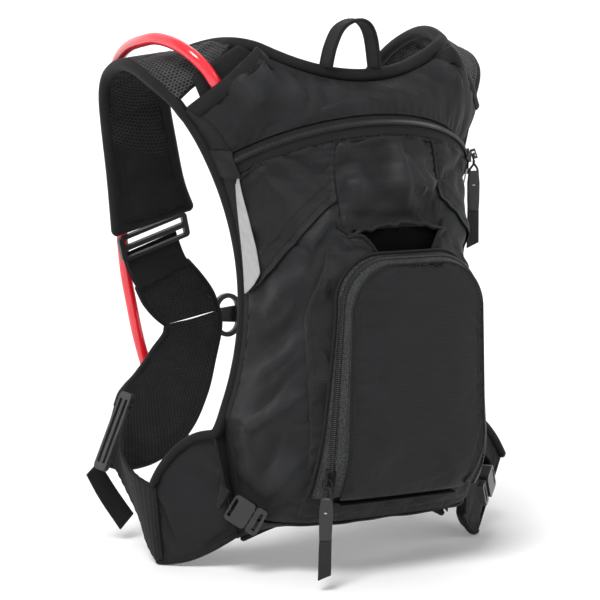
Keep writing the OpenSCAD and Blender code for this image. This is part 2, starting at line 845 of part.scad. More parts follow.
shutoff_lever();
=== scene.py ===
"""The looks of a small hydration pack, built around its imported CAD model."""

import math

import bpy
import numpy as np
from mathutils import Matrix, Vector


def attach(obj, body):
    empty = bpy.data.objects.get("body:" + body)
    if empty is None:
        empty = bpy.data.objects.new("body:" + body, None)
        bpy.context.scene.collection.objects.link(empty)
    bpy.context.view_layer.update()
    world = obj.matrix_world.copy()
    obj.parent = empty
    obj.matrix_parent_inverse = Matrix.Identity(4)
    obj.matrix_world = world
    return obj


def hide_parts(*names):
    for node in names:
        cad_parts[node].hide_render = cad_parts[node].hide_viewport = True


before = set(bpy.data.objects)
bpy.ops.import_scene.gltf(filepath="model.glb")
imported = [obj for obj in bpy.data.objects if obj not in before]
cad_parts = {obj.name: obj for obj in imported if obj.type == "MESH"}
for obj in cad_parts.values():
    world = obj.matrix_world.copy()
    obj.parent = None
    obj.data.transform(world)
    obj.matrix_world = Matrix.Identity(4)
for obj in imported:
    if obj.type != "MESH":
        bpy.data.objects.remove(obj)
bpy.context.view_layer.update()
scene = bpy.context.scene
scene.view_settings.view_transform = "Standard"

# ---------- the pack's shape, in millimetres from its own reference line ----------
Y_SHIFT = -70.0


def mix(a, b, t):
    """From a at t=0 to b at t=1."""
    return a + (b - a) * t


def ease(t):
    """A smooth step from 0 to 1."""
    c = np.clip(t, 0, 1)
    return c * c * (3 - 2 * c)


def xyz(x, y, z):
    return np.stack(np.broadcast_arrays(x, y, z), -1).astype(float)


def unit(v):
    return v / (np.linalg.norm(v, axis=-1, keepdims=True) + 1e-12)


def curve(points, s):
    """A smooth curve through given points, for an array of shares s from 0 to 1."""
    p = np.asarray(points, float)
    n = len(p) - 1
    q = np.clip(np.asarray(s, float), 0, 1) * n
    i = np.minimum(q.astype(int), n - 1)
    t = (q - i)[..., None]
    a, b, c, d = p[np.maximum(i - 1, 0)], p[i], p[i + 1], p[np.minimum(i + 2, n)]
    return 0.5 * (2 * b + (c - a) * t + (2 * a - 5 * b + 4 * c - d) * t**2 + (3 * b - a - 3 * c + d) * t**3)


def half_w(z):
    """Half the bag's width at a height."""
    return 92 + 0.0018 * (np.clip(z, 119, 362) - 208) ** 2 - 0.1 * np.maximum(119 - z, 0)


def back_y(x):
    """The back panel's face, which curves round the wearer."""
    return x * x / 380


def neck(x):
    """The back panel's upper edge."""
    return 383 + 0.0032 * x * x


def hem(x):
    """The back panel's lower edge."""
    return 38 - 17 * (np.maximum(np.abs(x) - 50, 0) / 46) ** 1.5


def middle_y(z):
    """The front of the bag on its middle line."""
    return np.where(z > 110, -62 + 28 * ((z - 110) / 236) ** 2, -62 + 18 * ((110 - z) / 66) ** 2)


def bag_y(x, z):
    """The front of the bag; its right side is rounder than its left."""
    e, u = back_y(half_w(z)), np.minimum(np.abs(x) / half_w(z), 1)
    k = ease((z - 195) / 95)
    p, q = np.where(x > 0, 3.9, 6.0), np.where(x > 0, 0.55, 0.5)
    return e - (e - middle_y(z)) * np.maximum(1 - u ** mix(p, 1.9, k), 0) ** mix(q, 0.62, k)


ZIP_TILT = math.radians(-31.7)
ZIP_R, ZIP_Y, ZIP_Z = 128, 75, 279
SHELL_FOOT_Z = 44
NECK_HALF, CORNER_X, CORNER_Z = 88, 134, 353


def zip_point(angle, rise):
    """angle in degrees from the middle of the arc; rise is the distance up the bag."""
    r, a = ZIP_R - 0.3 * np.abs(rise), np.radians(angle)
    x, y, z = r * np.sin(a), -r * np.cos(a), 0.94 * rise
    c, s = math.cos(ZIP_TILT), math.sin(ZIP_TILT)
    return xyz(x, ZIP_Y + y * c - z * s, ZIP_Z + y * s + z * c)


def bag_point(s, v):
    """The shell below the zip: s is -1 to 1 across and v 0 to 1 upwards."""
    top = zip_point(57 * s, -11)
    z = mix(SHELL_FOOT_Z, top[..., 2], v)
    x = half_w(z) * np.sin(np.pi / 2 * s)
    return mix(xyz(x, bag_y(x, z), z), top, (v**4)[..., None])


def top_edge(s):
    """The shell's upper edge, behind the straps' slots."""
    a = np.abs(s)
    k = (a - 0.7) / 0.3
    x = np.where(a < 0.7, NECK_HALF * a / 0.7, mix(NECK_HALF, CORNER_X, k))
    z = np.where(a < 0.7, neck(x) - 7, mix(neck(NECK_HALF) - 7, CORNER_Z, k))
    slot = 13 * ease((a - 0.6) / 0.15) * (1 - 0.5 * ease((a - 0.85) / 0.15))
    return xyz(np.sign(s) * x, back_y(x) - 2.5 - slot, z)


def upper_point(s, w):
    """The shell above the zip; w is 0 at the zip and 1 at the top."""
    bulge = np.sin(np.pi * w)
    return mix(zip_point(57 * s, 8.5), top_edge(s), w[..., None]) + xyz(0, -5 * bulge, 3 * bulge)


def back_half(z):
    return np.where(z < 355, half_w(z), mix(half_w(355), 92, (z - 355) / 50))


def back_point(u, v):
    z = mix(30, 395, v)
    x = (2 * u - 1) * (back_half(z) - 4)
    return xyz(x, back_y(x), mix(hem(x), neck(x) - 7, v))


def stash_y(x, z):
    """The panel behind the pocket."""
    return bag_y(x, z) - mix(1.2, 10, ease((z - 60) / 150))


def foot_tuck(k):
    """How far the pocket's right edge is tucked in at its foot."""
    return 14 * np.maximum(1 - k / 0.34, 0) ** 2


def face_y(z):
    """The pocket's face."""
    return -82 + 14 * (np.maximum(108 - z, 0) / 43) ** 2


def arch(half_foot, half_top, foot, top, r, t):
    """An upside-down U seen from the front; t runs from 0 at the left foot to 1 at the right."""
    m = np.where(t > 0.5, 1 - t, t)
    a = np.pi / 2 * np.clip((m - 0.34) / 0.1, 0, 1)
    k = np.clip(m / 0.34, 0, 1)
    side = mix(half_foot, half_top, k) - np.where(t > 0.5, foot_tuck(k), 0)
    x = np.where(m < 0.34, side, half_top - r + r * np.cos(a))
    z = np.where(m < 0.34, mix(foot, top - r, k), top - r + r * np.sin(a))
    x = np.where(m >= 0.44, mix(half_top - r, 0, np.clip((m - 0.44) / 0.06, 0, 1)), x)
    return np.where(t > 0.5, 1, -1) * x, np.where(m >= 0.44, top, z)


def base_rim(t):
    x, z = arch(80, 63, 61, 250, 38, t)
    return xyz(x, stash_y(x, z) - 3, z)


def face_rim(t):
    x, z = arch(61, 57, 65, 242, 36, t)
    return xyz(x, face_y(z), z)


def coil_line(t):
    m = mix(base_rim(t), face_rim(t), 0.42)
    return xyz(m[..., 0], -71 + 5 * (np.maximum(82 - m[..., 2], 0) / 18) ** 2, m[..., 2])


def face_half(z):
    side = mix(61, 57, (z - 65) / 141)
    return np.where(z < 206, side, 21 + np.sqrt(np.maximum(1296 - (z - 206) ** 2, 0)) + 0.5)


def lid_point(u, v):
    z = mix(66, 241.4, 1 - (1 - v) ** 1.5)
    a = 2 * u - 1
    half = face_half(z) - np.where(a > 0, foot_tuck((z - 65) / 141), 0)
    return xyz(half * a, face_y(z) - 4 * (1 - a**4), z)


WING_TOP = [[-116, 26, 106], [-125, 37, 104], [-136, 47, 95], [-147, 55, 80], [-152, 61, 66]]
WING_FOOT = [[-105, 10, 30], [-118, 26, 17], [-130, 40, 8], [-140, 52, 4], [-148, 60, 3]]
# the right wing and band are splayed further forwards; they are drawn on the left and mirrored
RIGHT_WING_TOP = [[-116, 26, 106], [-128, 34, 100], [-142, 38, 90], [-155, 40, 76], [-163, 40, 62]]
RIGHT_WING_FOOT = [[-105, 10, 22], [-111, 14, 14], [-117, 18, 8], [-123, 21, 4], [-129, 24, 3]]
RIGHT_BAND_TOP = [[-165, 46, 60], [-166, 59, 62], [-166, 78, 68], [-162, 100, 80], [-151, 116, 101],
                  [-141, 124, 116]]
RIGHT_BAND_FOOT = [[-132, 30.5, 3], [-139, 43, 4], [-146, 66, 10], [-152, 92, 34], [-157, 112, 58],
                   [-160, 124, 76]]
BAND_TOP = [[-154, 64, 65], [-159, 78, 70], [-161, 94, 79], [-158, 109, 92], [-149, 118, 106],
            [-141, 123, 118]]
BAND_FOOT = [[-149, 63, 4], [-150, 77, 15], [-149, 92, 32], [-152, 107, 50], [-156, 117, 64],
             [-160, 124, 76]]
TAIL = ([[-157, 151, 68], [-142, 151, 44], [-127, 150, 22]],
        [[-168, 151, 58], [-156, 151, 36], [-139, 150, 10]])
STRAP_INNER = [[-95, 31, 405], [-97, 57, 405], [-101, 90, 400], [-102, 125, 392], [-97, 150, 376],
               [-88, 165, 353], [-78, 175, 326], [-63, 190, 290], [-50, 199, 268]]
STRAP_OUTER = [[-135, 51, 361], [-144, 68, 374], [-148, 95, 386], [-148, 120, 389], [-145, 150, 381],
               [-142, 165, 366], [-136, 175, 341], [-124, 190, 296], [-116, 199, 250]]
# the right strap stands a little higher; it is drawn on the left and mirrored
RIGHT_INNER = [[-95, 31, 405], [-101, 57, 413], [-107, 90, 413], [-106, 125, 401], [-99, 150, 379],
               [-88, 165, 353], [-78, 175, 326], [-63, 190, 290], [-50, 199, 268]]
RIGHT_OUTER = [[-135, 51, 361], [-150, 66, 381], [-158, 93, 394], [-156, 120, 394], [-149, 150, 383],
               [-142, 165, 366], [-136, 175, 341], [-124, 190, 296], [-116, 199, 250]]
ARM_HIGH = ([[-45, 211, 220], [-32, 213, 207], [-20, 215, 192], [-13, 216, 176]],
            [[-92, 210, 200], [-84, 212, 186], [-73, 213, 174], [-64, 213, 167]])
ARM_LOW = ([[-12.6, 216, 175], [-12, 215, 160], [-20, 211, 135], [-34, 200, 107], [-58, 185, 80],
            [-94, 169, 62], [-132, 155, 60], [-159, 146, 70]],
           [[-63.6, 213, 166], [-66, 212, 158], [-78, 208, 147], [-92, 198, 137], [-106, 187, 129],
            [-121, 173, 124], [-134, 158, 120], [-143, 146, 114]])
ADJUSTER = ([[-55, 212, 246], [-52, 212, 235], [-49, 211, 225]],
            [[-104, 212, 229], [-100, 212, 217], [-95, 211, 207]])
SIDE_WEB = ([[-120, -4.5, 67.5], [-121, 4, 71], [-116.5, 13.5, 74]],
            [[-126, 0.5, 53.5], [-124, 8, 55], [-117.5, 15.5, 58]])
HAUL = [[-32, 1, 387], [-29, -1, 403], [-22, -2, 417], [-10, -2, 423], [0, -2, 421], [7, -1, 410],
        [12, 1, 386]]
HOSE = [[-109, 26, 369], [-115, 28, 378], [-120, 32, 387], [-127, 41, 397], [-133, 57, 405], [-138, 78, 409],
        [-140, 100, 407], [-139, 124, 403], [-136, 147, 395], [-132, 167, 381], [-127, 182, 359],
        [-121, 193, 330], [-114, 202, 298], [-108, 209.5, 266], [-103, 216, 240], [-98, 220.5, 212],
        [-92, 222, 184], [-86, 222, 156], [-78, 221, 128], [-69, 219, 104], [-61, 216, 84], [-53, 214, 70]]


# ---------- meshes ----------
def to_row(p):
    """From the pack's millimetres to the row frame's metres."""
    return (np.asarray(p, float) + (0, Y_SHIFT, 0)) / 1000


def flipped(p, side):
    return np.asarray(p, float) * (side, 1, 1)


def piece(name, verts, faces, materials, body="pack", slot=None, replaces=(), uv=None, index=None,
          side=1, wear=None):
    """One object from points in the pack's millimetres; side=-1 mirrors it to the right."""
    if side < 0:
        faces = [f[::-1] for f in faces]
    mesh = bpy.data.meshes.new(name)
    mesh.from_pydata(to_row(flipped(verts, side)).tolist(), [], faces)
    for m in materials if isinstance(materials, (list, tuple)) else [materials]:
        mesh.materials.append(m)
    if index is not None:
        mesh.polygons.foreach_set("material_index", index)
    if uv is not None:
        corner = np.zeros(len(mesh.loops), int)
        mesh.loops.foreach_get("vertex_index", corner)
        mesh.uv_layers.new(name="weave").data.foreach_set("uv", (np.asarray(uv) / 1000)[corner].ravel())
    if wear is not None:
        mesh.attributes.new("wear", "FLOAT",
                            "POINT").data.foreach_set("value", np.clip(wear, 0, 1).astype(np.float32))
    mesh.polygons.foreach_set("use_smooth", np.ones(len(mesh.polygons), bool))
    mesh.validate()
    made = bpy.data.objects.new(name, mesh)
    scene.collection.objects.link(made)
    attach(made, body)
    if replaces:
        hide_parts(*replaces)
    return made


def modify(made, kind, **values):
    m = made.modifiers.new(kind.lower(), kind)
    for key, value in values.items():
        setattr(m, key, value)
    return made


def grid(f, us, vs):
    u, v = np.meshgrid(us, vs)
    return f(u, v)


def facing(p):
    return unit(np.cross(np.gradient(p, axis=1), np.gradient(p, axis=0)))


def lengths(p):
    """Each point's distance across from the middle column and up from the foot, for the weave."""
    du = np.linalg.norm(np.diff(p, axis=1), axis=-1)
    dv = np.linalg.norm(np.diff(p, axis=0), axis=-1)
    u = np.concatenate([np.zeros((p.shape[0], 1)), np.cumsum(du, 1)], 1)
    v = np.concatenate([np.zeros((1, p.shape[1])), np.cumsum(dv, 0)], 0)
    return np.stack([u - u[:, u.shape[1] // 2, None], v], -1)


def quads(nu, nv, start=0, back=False):
    i, j = np.meshgrid(np.arange(nu), np.arange(nv))
    a = (start + j * (nu + 1) + i).ravel()
    q = np.stack([a, a + 1, a + nu + 2, a + nu + 1], 1)
    return (q[:, ::-1] if back else q).tolist()


def border(nu, nv, other):
    """Faces that join the rim of a grid to the rim of its copy, which starts at index other."""
    w = nu + 1
    ring = [*range(nu), *[nu + w * j for j in range(nv)],
            *[w * nv + nu - i for i in range(nu)], *[w * (nv - j) for j in range(nv)]]
    return [[ring[k - 1], ring[k - 1] + other, ring[k] + other, ring[k]] for k in range(len(ring))]


def slab(name, p, below, materials, above=0.0, held=None, **how):
    """A closed sheet: p is a grid of points seen from outside, and below the depth of its back."""
    nv, nu = p.shape[0] - 1, p.shape[1] - 1
    n = facing(p)
    count = (nu + 1) * (nv + 1)
    verts = np.concatenate([(p + above * n).reshape(-1, 3),
                            (p - np.asarray(below)[..., None] * n).reshape(-1, 3)])
    uv = np.tile(lengths(p).reshape(-1, 2), (2, 1))
    faces = quads(nu, nv) + quads(nu, nv, count, True) + border(nu, nv, count)
    if how.get("wear") is not None:
        how["wear"] = np.tile(how["wear"].reshape(-1), 2)
    made = piece(name, verts, faces, materials, uv=uv, **how)
    return made


def rings(points, normal=None):
    """A pair of directions across a line at each of its points."""
    way = unit(np.gradient(points, axis=0))
    if normal is None:
        m = unit(np.cross(way[0], (1.0, 0, 0) if abs(way[0][0]) < 0.8 else (0, 1.0, 0)))
        across = []
        for w in way:
            m = unit(m - w * (m @ w))
            across.append(m)
        across = np.array(across)
    else:
        across = unit(normal - way * np.sum(normal * way, -1, keepdims=True))
    return across, np.cross(way, across)


def tube(name, points, radius, material, sides=14, normal=None, flat=1.0, **how):
    """A tube with rounded ends; flat is its thickness along normal as a share of its width."""
    points = np.asarray(points, float)
    n = len(points)
    r = np.broadcast_to(radius, n).astype(float)
    first, last = points[0], points[-1]
    way0, way1 = unit(points[1] - first), unit(last - points[-2])
    tip = np.array([0.02, 0.5, 0.85])
    reach = np.array([1.0, 0.8, 0.45])
    start = first - way0 * (reach * r[0])[:, None]
    end = last + way1 * (reach[::-1] * r[-1])[:, None]
    path = np.concatenate([start, points, end])
    size = np.concatenate([tip * r[0], r, tip[::-1] * r[-1]])
    across, other = rings(points, normal)
    across = np.concatenate([across[:1]] * 3 + [across] + [across[-1:]] * 3)
    other = np.concatenate([other[:1]] * 3 + [other] + [other[-1:]] * 3)
    a = np.linspace(0, 2 * np.pi, sides + 1)
    p = path[:, None] + size[:, None, None] * (
        flat * across[:, None] * np.cos(a)[:, None] + other[:, None] * np.sin(a)[:, None])
    along = np.concatenate([[0], np.cumsum(np.linalg.norm(np.diff(path, axis=0), axis=1))])
    uv = np.stack(np.broadcast_arrays(a[None] * np.mean(r), along[:, None]), -1).reshape(-1, 2)
    faces = quads(sides, len(path) - 1)
    count = (sides + 1) * len(path)
    faces += [[k for k in range(sides)][::-1], [count - sides - 1 + k for k in range(sides)]]
    made = piece(name, p.reshape(-1, 3), faces, material, uv=uv, **how)
    weld(made)
    return made


def weld(made):
    import bmesh
    b = bmesh.new()
    b.from_mesh(made.data)
    bmesh.ops.remove_doubles(b, verts=b.verts, dist=1e-7)
    bmesh.ops.recalc_face_normals(b, faces=b.faces)
    b.to_mesh(made.data)
    b.free()


def beads(name, spots, ways, ups, size, material, **how):
    """Many small rounded bars: stitches, or a zip's teeth. size is half of (length, width, height)."""
    spots, ways, ups = (np.asarray(q, float) for q in (spots, ways, ups))
    ways = unit(ways)
    ups = unit(ups - ways * np.sum(ups * ways, -1, keepdims=True))
    side = np.cross(ups, ways)
    shape = []
    for t, k in ((-1, 0.35), (-0.72, 0.85), (0, 1), (0.72, 0.85), (1, 0.35)):
        for a in np.radians([0, 60, 120, 180, 240, 300]):
            shape.append((t, k * math.cos(a), k * math.sin(a)))
    shape = np.array(shape) * size
    verts = (spots[:, None] + ways[:, None] * shape[None, :, :1] + side[:, None] * shape[None, :, 1:2]
             + ups[:, None] * shape[None, :, 2:])
    one = [[6 * r + k, 6 * r + (k + 1) % 6, 6 * r + 6 + (k + 1) % 6,
            6 * r + 6 + k] for r in range(4) for k in range(6)]
    one += [[5, 4, 3, 2, 1, 0], [24, 25, 26, 27, 28, 29]]
    faces = [[i + 30 * n for i in f] for n in range(len(spots)) for f in one]
    uv = np.tile(shape[:, :2], (len(spots), 1))
    return piece(name, verts.reshape(-1, 3), faces, material, uv=uv, **how)


def read_off(at, along, rows):
    """Points or directions at the places at, from the rows known at the places along."""
    return np.stack([np.interp(at, along, rows[:, k]) for k in range(3)], -1)


def evenly(points, pitch):
    """Points and directions at a steady pitch along a line, with the share of the line at each."""
    points = np.asarray(points, float)
    along = np.concatenate([[0], np.cumsum(np.linalg.norm(np.diff(points, axis=0), axis=1))])
    at = np.arange(pitch / 2, along[-1], pitch)
    way = unit(read_off(at, along, np.gradient(points, axis=0)))
    return read_off(at, along, points), way, at / along[-1]


class Seams:
    """Collects stitches for one body, and makes them as one piece."""

    def __init__(self):
        self.spots, self.ways, self.ups = [], [], []

    def sew(self, points, normals, lift=0.0, pitch=2.9, side=1):
        q, way, _ = evenly(points, pitch)
        n, _, _ = evenly(np.cumsum(np.ones_like(points), 0), 1)
        along = np.concatenate([[0], np.cumsum(np.linalg.norm(np.diff(points, axis=0), axis=1))])
        at = np.arange(pitch / 2, along[-1], pitch)
        up = read_off(at, along, np.asarray(normals))
        up = unit(up)
        self.spots.append(flipped(q + lift * up, side))
        self.ways.append(flipped(way, side))
        self.ups.append(flipped(up, side))

    def make(self, name, material, body="pack", slot=None):
        return beads(name, np.concatenate(self.spots), np.concatenate(self.ways), np.concatenate(self.ups),
                     (1.05, 0.27, 0.27), material, body=body, slot=slot)


# ---------- folds ----------
def folds(a, b, lines):
    """Creased folds along straight lines, one side of each steeper than the other."""
    out = np.zeros(np.broadcast(a, b).shape)
    for a0, b0, a1, b1, high, wide in lines:
        dx, dy = a1 - a0, b1 - b0
        span = math.hypot(dx, dy)
        t = ((a - a0) * dx + (b - b0) * dy) / span**2
        d = ((a - a0) * dy - (b - b0) * dx) / span + 2.5 * np.sin(3 * t + a0)
        d = np.where(d > 0, d / wide, d / (0.45 * wide))
        out += (high * ease(t / 0.3 + 0.2) * ease((1 - t) / 0.3 + 0.2) * (t > -0.1) * (t < 1.1)
                * np.exp(-d * d))
    return out


def rumple(a, b, high, seed, low=16, top=60):
    """Soft irregular waves, the same each run."""
    dice = np.random.RandomState(seed)
    out = np.zeros(np.broadcast(a, b).shape)
    for _ in range(14):
        wave, turn, shift = dice.uniform(low, top), dice.uniform(0, 2 * np.pi), dice.uniform(0, 6.3)
        over, up = math.cos(turn), math.sin(turn)
        bend = dice.uniform(0.5, 1.5) * np.sin((a * up - b * over) / (1.7 * wave) + shift)
        out += wave / top * np.sin((a * over + b * up) * 2 * np.pi / wave + shift + bend)
    return high * out / 3


def pucker(along, away, high=0.45, pitch=8.0, reach=7.0):
    """The small gathers that a row of stitches pulls into fabric."""
    return high * np.sin(2 * np.pi * along / pitch + 1.3 * np.sin(along / 11)) * np.exp(-np.abs(away) / reach)


def simulate(jobs, frames=22):
    """Cloth over a few frames: each job's free points swell, held at its pinned ones. Returns new grids."""
    held = []
    for k, job in enumerate(jobs):
        mesh = bpy.data.meshes.new("sim")
        flat = to_row(job["p"].reshape(-1, 3))
        mesh.from_pydata(flat.tolist(), [], job["faces"])
        made = bpy.data.objects.new(f"sim{k}", mesh)
        scene.collection.objects.link(made)
        group = made.vertex_groups.new(name="pin")
        for weight in (1.0, 0.5):
            chosen = np.nonzero(np.isclose(job["pin"].ravel(), weight))[0]
            if len(chosen):
                group.add(chosen.tolist(), weight, "REPLACE")
        cloth = made.modifiers.new("cloth", "CLOTH")
        s = cloth.settings
        s.quality = 6
        s.mass = 0.25
        s.tension_stiffness = s.compression_stiffness = 20
        s.shear_stiffness = 8
        s.bending_stiffness = job.get("bending", 0.4)
        s.vertex_group_mass = "pin"
        s.effector_weights.gravity = 0
        s.use_pressure = True
        s.uniform_pressure_force = job["pressure"]
        s.shrink_min = s.shrink_max = -job.get("slack", 0.0)
        cloth.collision_settings.use_collision = False
        cloth.point_cache.frame_start, cloth.point_cache.frame_end = 1, frames
        held.append((made, flat))
    for f in range(1, frames + 1):
        scene.frame_set(f)
    out = []
    graph = bpy.context.evaluated_depsgraph_get()
    for (made, flat), job in zip(held, jobs):
        got = np.zeros(len(flat) * 3, np.float32)
        made.evaluated_get(graph).data.vertices.foreach_get("co", got)
        step = got.reshape(-1, 3).astype(float) * 1.0 - flat
        size = np.linalg.norm(step, axis=1, keepdims=True) + 1e-12
        cap = job["cap"] / 1000
        moved = flat + step / size * cap * np.tanh(size / cap)
        out.append((moved * 1000 - (0, Y_SHIFT, 0)).reshape(job["p"].shape))
    for made, _ in held:
        bpy.data.objects.remove(made)
    scene.frame_set(1)
    return out


# ---------- materials ----------
class Stuff:
    """A material, with short ways to add nodes to it."""

    def __init__(self, name, **sockets):
        self.material = bpy.data.materials.new(name)
        self.material.use_nodes = True
        self.tree = self.material.node_tree
        self.shader = self.tree.nodes["Principled BSDF"]
        for key, value in sockets.items():
            self.shader.inputs[key.replace("_", " ")].default_value = value

    def node(self, kind, *inputs, out=0, **values):
        n = self.tree.nodes.new("ShaderNode" + kind)
        for key, value in values.items():
            setattr(n, key, value)
        for k, value in enumerate(inputs):
            if value is not None:
                self.put(n.inputs[k], value)
        return n.outputs[out]

    def put(self, socket, value):
        if isinstance(value, bpy.types.NodeSocket):
            self.tree.links.new(value, socket)
        else:
            socket.default_value = value

    def math(self, kind, *inputs):
        return self.node("Math", *inputs, operation=kind)

    def add(self, a, b):
        return self.math("ADD", a, b)

    def times(self, a, b):
        return self.math("MULTIPLY", a, b)

    def vector(self, kind, *inputs):
        return self.node("VectorMath", *inputs, operation=kind)

    def noise(self, at, scale, detail=3.0, rough=0.55):
        n = self.tree.nodes.new("ShaderNodeTexNoise")
        self.put(n.inputs["Vector"], at)
        for key, value in (("Scale", scale), ("Detail", detail), ("Roughness", rough)):
            n.inputs[key].default_value = value
        return n.outputs["Fac"]

    def span(self, value, low, high, to_low=0.0, to_high=1.0):
        return self.node("MapRange", value, low, high, to_low, to_high)

    def blend(self, share, a, b):
        n = self.tree.nodes.new("ShaderNodeMix")
        n.data_type = "RGBA"
        self.put(n.inputs[0], share)
        self.put(n.inputs[6], a if isinstance(a, bpy.types.NodeSocket) else (*a, 1))
        self.put(n.inputs[7], b if isinstance(b, bpy.types.NodeSocket) else (*b, 1))
        return n.outputs[2]

    def woven(self, turn=0.0):
        """Places on the cloth in millimetres, x across and y along."""
        at = self.node("UVMap", uv_map="weave")
        at = self.vector("SCALE", at)
        self.tree.nodes[-1].inputs["Scale"].default_value = 1000
        if turn:
            at = self.node("VectorRotate", at, None, None, math.radians(turn), rotation_type="Z_AXIS")
        x = self.node("SeparateXYZ", at)
        return at, x, x.node.outputs[1]

    def solid(self):
        """Places in the object in millimetres."""
        at = self.node("TexCoord", out=3)
        at = self.vector("SCALE", at)
        self.tree.nodes[-1].inputs["Scale"].default_value = 1000
        return at

    def line(self, x, pitch, sharp):
        """Thin raised lines at a steady pitch: 1 on the line, 0 between."""
        t = self.math("PINGPONG", x, pitch / 2)
        return self.math("POWER", self.math("DIVIDE", t, pitch / 2), sharp)

    def wave(self, x, pitch):
        return self.span(self.math("SINE", self.times(x, 2 * math.pi / pitch)), -1, 1)

    def finish(self, colour, rough, height, depth):
        """depth is the height's real size in millimetres."""
        self.put(self.shader.inputs["Base Color"], colour)
        self.put(self.shader.inputs["Roughness"], rough)
        bump = self.tree.nodes.new("ShaderNodeBump")
        bump.inputs["Strength"].default_value = 1.0
        bump.inputs["Distance"].default_value = depth / 1000
        self.put(bump.inputs["Height"], height)
        self.put(self.shader.inputs["Normal"], bump.outputs[0])
        return self.material


def ripstop(name, dark, light, turn=0.0, pitch=1.9, rib=0.7, depth=0.11, gloss=0.17):
    """Thin nylon with a raised thread every few millimetres, paler on those threads, with painted highlight
    on fold crests and part wear, part painted highlight along seams and edges.
    """
    m = Stuff(name, Sheen_Weight=0.015, Sheen_Roughness=0.5, Specular_IOR_Level=gloss)
    at, x, y = m.woven(turn)
    drift = m.noise(at, 0.03, 2)
    y = m.add(y, m.times(m.noise(at, 0.07, 2), 1.6))
    rows, columns = m.line(y, pitch, 3), m.line(x, pitch * 2.2, 9)
    plain = m.times(m.wave(x, 0.62), m.wave(y, 0.55))
    fuzz = m.noise(at, 2.2, 2)
    height = m.add(m.times(rows, rib), m.times(columns, rib * 0.35))
    height = m.add(height, m.times(plain, 0.22))
    height = m.add(height, m.times(fuzz, 0.18))
    # painted highlight: the attribute read here lightens the colour on fold crests; along seams and edges it
    # is part wear, part painted highlight
    paler = m.node("Attribute", attribute_name="wear", out=2)
    share = m.add(m.times(rows, 0.8), m.span(drift, 0.3, 0.75, 0.0, 0.4))
    share = m.add(share, m.times(fuzz, 0.22))
    share = m.add(share, m.times(paler, 0.5))
    rough = m.math("SUBTRACT", m.span(drift, 0.3, 0.7, 0.58, 0.7), m.times(paler, 0.12))
    return m.finish(m.blend(share, dark, light), rough, height, depth)


def tape(name, dark, light, rib=0.9, across=0.0, depth=0.16, speck=0.0, rough=0.7):
    """Woven tape: ribs across it, or a herringbone with across above 0; speck makes it heathered."""
    m = Stuff(name, Sheen_Weight=0.03, Sheen_Roughness=0.45, Specular_IOR_Level=0.18)
    at, x, y = m.woven()
    if across:
        y = m.add(y, m.times(m.math("PINGPONG", x, across), 0.9))
    ribs, threads = m.wave(y, rib), m.wave(x, rib * 0.8)
    flecks = m.noise(at, 1.9, 4, 0.75)
    drift = m.noise(at, 0.06, 2)
    height = m.add(m.times(ribs, 0.6), m.times(threads, 0.25))
    height = m.add(height, m.times(flecks, 0.3))
    share = m.add(m.times(ribs, 0.25), m.span(drift, 0.3, 0.7, 0.1, 0.45))
    if speck:
        share = m.add(m.times(share, 0.5), m.span(m.noise(at, 0.75, 3, 0.7), 0.47, 0.6, 0.0, speck))
    return m.finish(m.blend(share, dark, light), m.span(flecks, 0.3, 0.7, rough - 0.08, rough + 0.08),
                    height, depth)


def netting(name, hole_shade, dark, light, cell=3.4, size=0.62, depth=0.7, turn=0.0):
    """Open spacer mesh: round holes in a honeycomb of thread, the holes coloured near-black as painted shade.
    """
    m = Stuff(name, Sheen_Weight=0.03, Sheen_Roughness=0.5, Specular_IOR_Level=0.2)
    at, x, y = m.woven(turn)
    box = (cell, cell * math.sqrt(3), 1.0)
    near = []
    for shift in ((0, 0, 0), (cell / 2, cell * math.sqrt(3) / 2, 0)):
        q = m.vector("DIVIDE", m.vector("ADD", at, shift), box)
        q = m.vector("SUBTRACT", m.vector("FRACTION", q), (0.5, 0.5, 0))
        q = m.vector("MULTIPLY", q, (box[0], box[1], 0))
        near.append(m.node("VectorMath", q, operation="LENGTH", out=1))
    reach = m.math("DIVIDE", m.math("MINIMUM", *near), cell / 2)
    wall = m.span(reach, size - 0.2, size + 0.18)
    fuzz = m.noise(at, 3.0, 3, 0.7)
    drift = m.noise(at, 0.05, 2)
    strand = m.blend(m.add(m.span(fuzz, 0.35, 0.7, 0, 0.7), m.span(drift, 0.35, 0.7, 0, 0.4)), dark, light)
    height = m.add(wall, m.times(fuzz, 0.15))
    # the holes get painted shade: near-black colour where the mesh is open
    return m.finish(m.blend(wall, hole_shade, strand), m.span(fuzz, 0.3, 0.7, 0.6, 0.8), height, depth)


def moulded(name, colour, paler, rough=0.42, depth=0.05, grain=1.6, **sockets):
    """Moulded plastic or lacquered metal: fine grain, faint clouding, and paler scuffs."""
    m = Stuff(name, **sockets)
    at = m.solid()
    fine, cloud = m.noise(at, grain, 3), m.noise(at, 0.09, 3)
    scuff = m.span(m.noise(at, 0.55, 5, 0.75), 0.6, 0.74)
    share = m.add(m.times(cloud, 0.3), m.times(scuff, 0.35))
    roughness = m.add(m.span(fine, 0.3, 0.7, rough - 0.07, rough + 0.07), m.times(scuff, 0.12))
    return m.finish(m.blend(share, colour, paler), roughness, m.add(fine, m.times(scuff, 0.4)), depth)


def glass_bead(name):
    """Grey reflective trim with a fine beaded face."""
    m = Stuff(name, Metallic=0.1, Specular_IOR_Level=0.4)
    at, x, y = m.woven()
    n = m.tree.nodes.new("ShaderNodeTexVoronoi")
    m.put(n.inputs["Vector"], at)
    n.inputs["Scale"].default_value = 2.4
    beads_high = n.outputs["Distance"]
    drift = m.noise(at, 0.12, 4)
    return m.finish(m.blend(m.span(drift, 0.3, 0.7), (0.30, 0.305, 0.30), (0.37, 0.375, 0.37)),
                    m.span(drift, 0.3, 0.7, 0.32, 0.45), beads_high, 0.03)


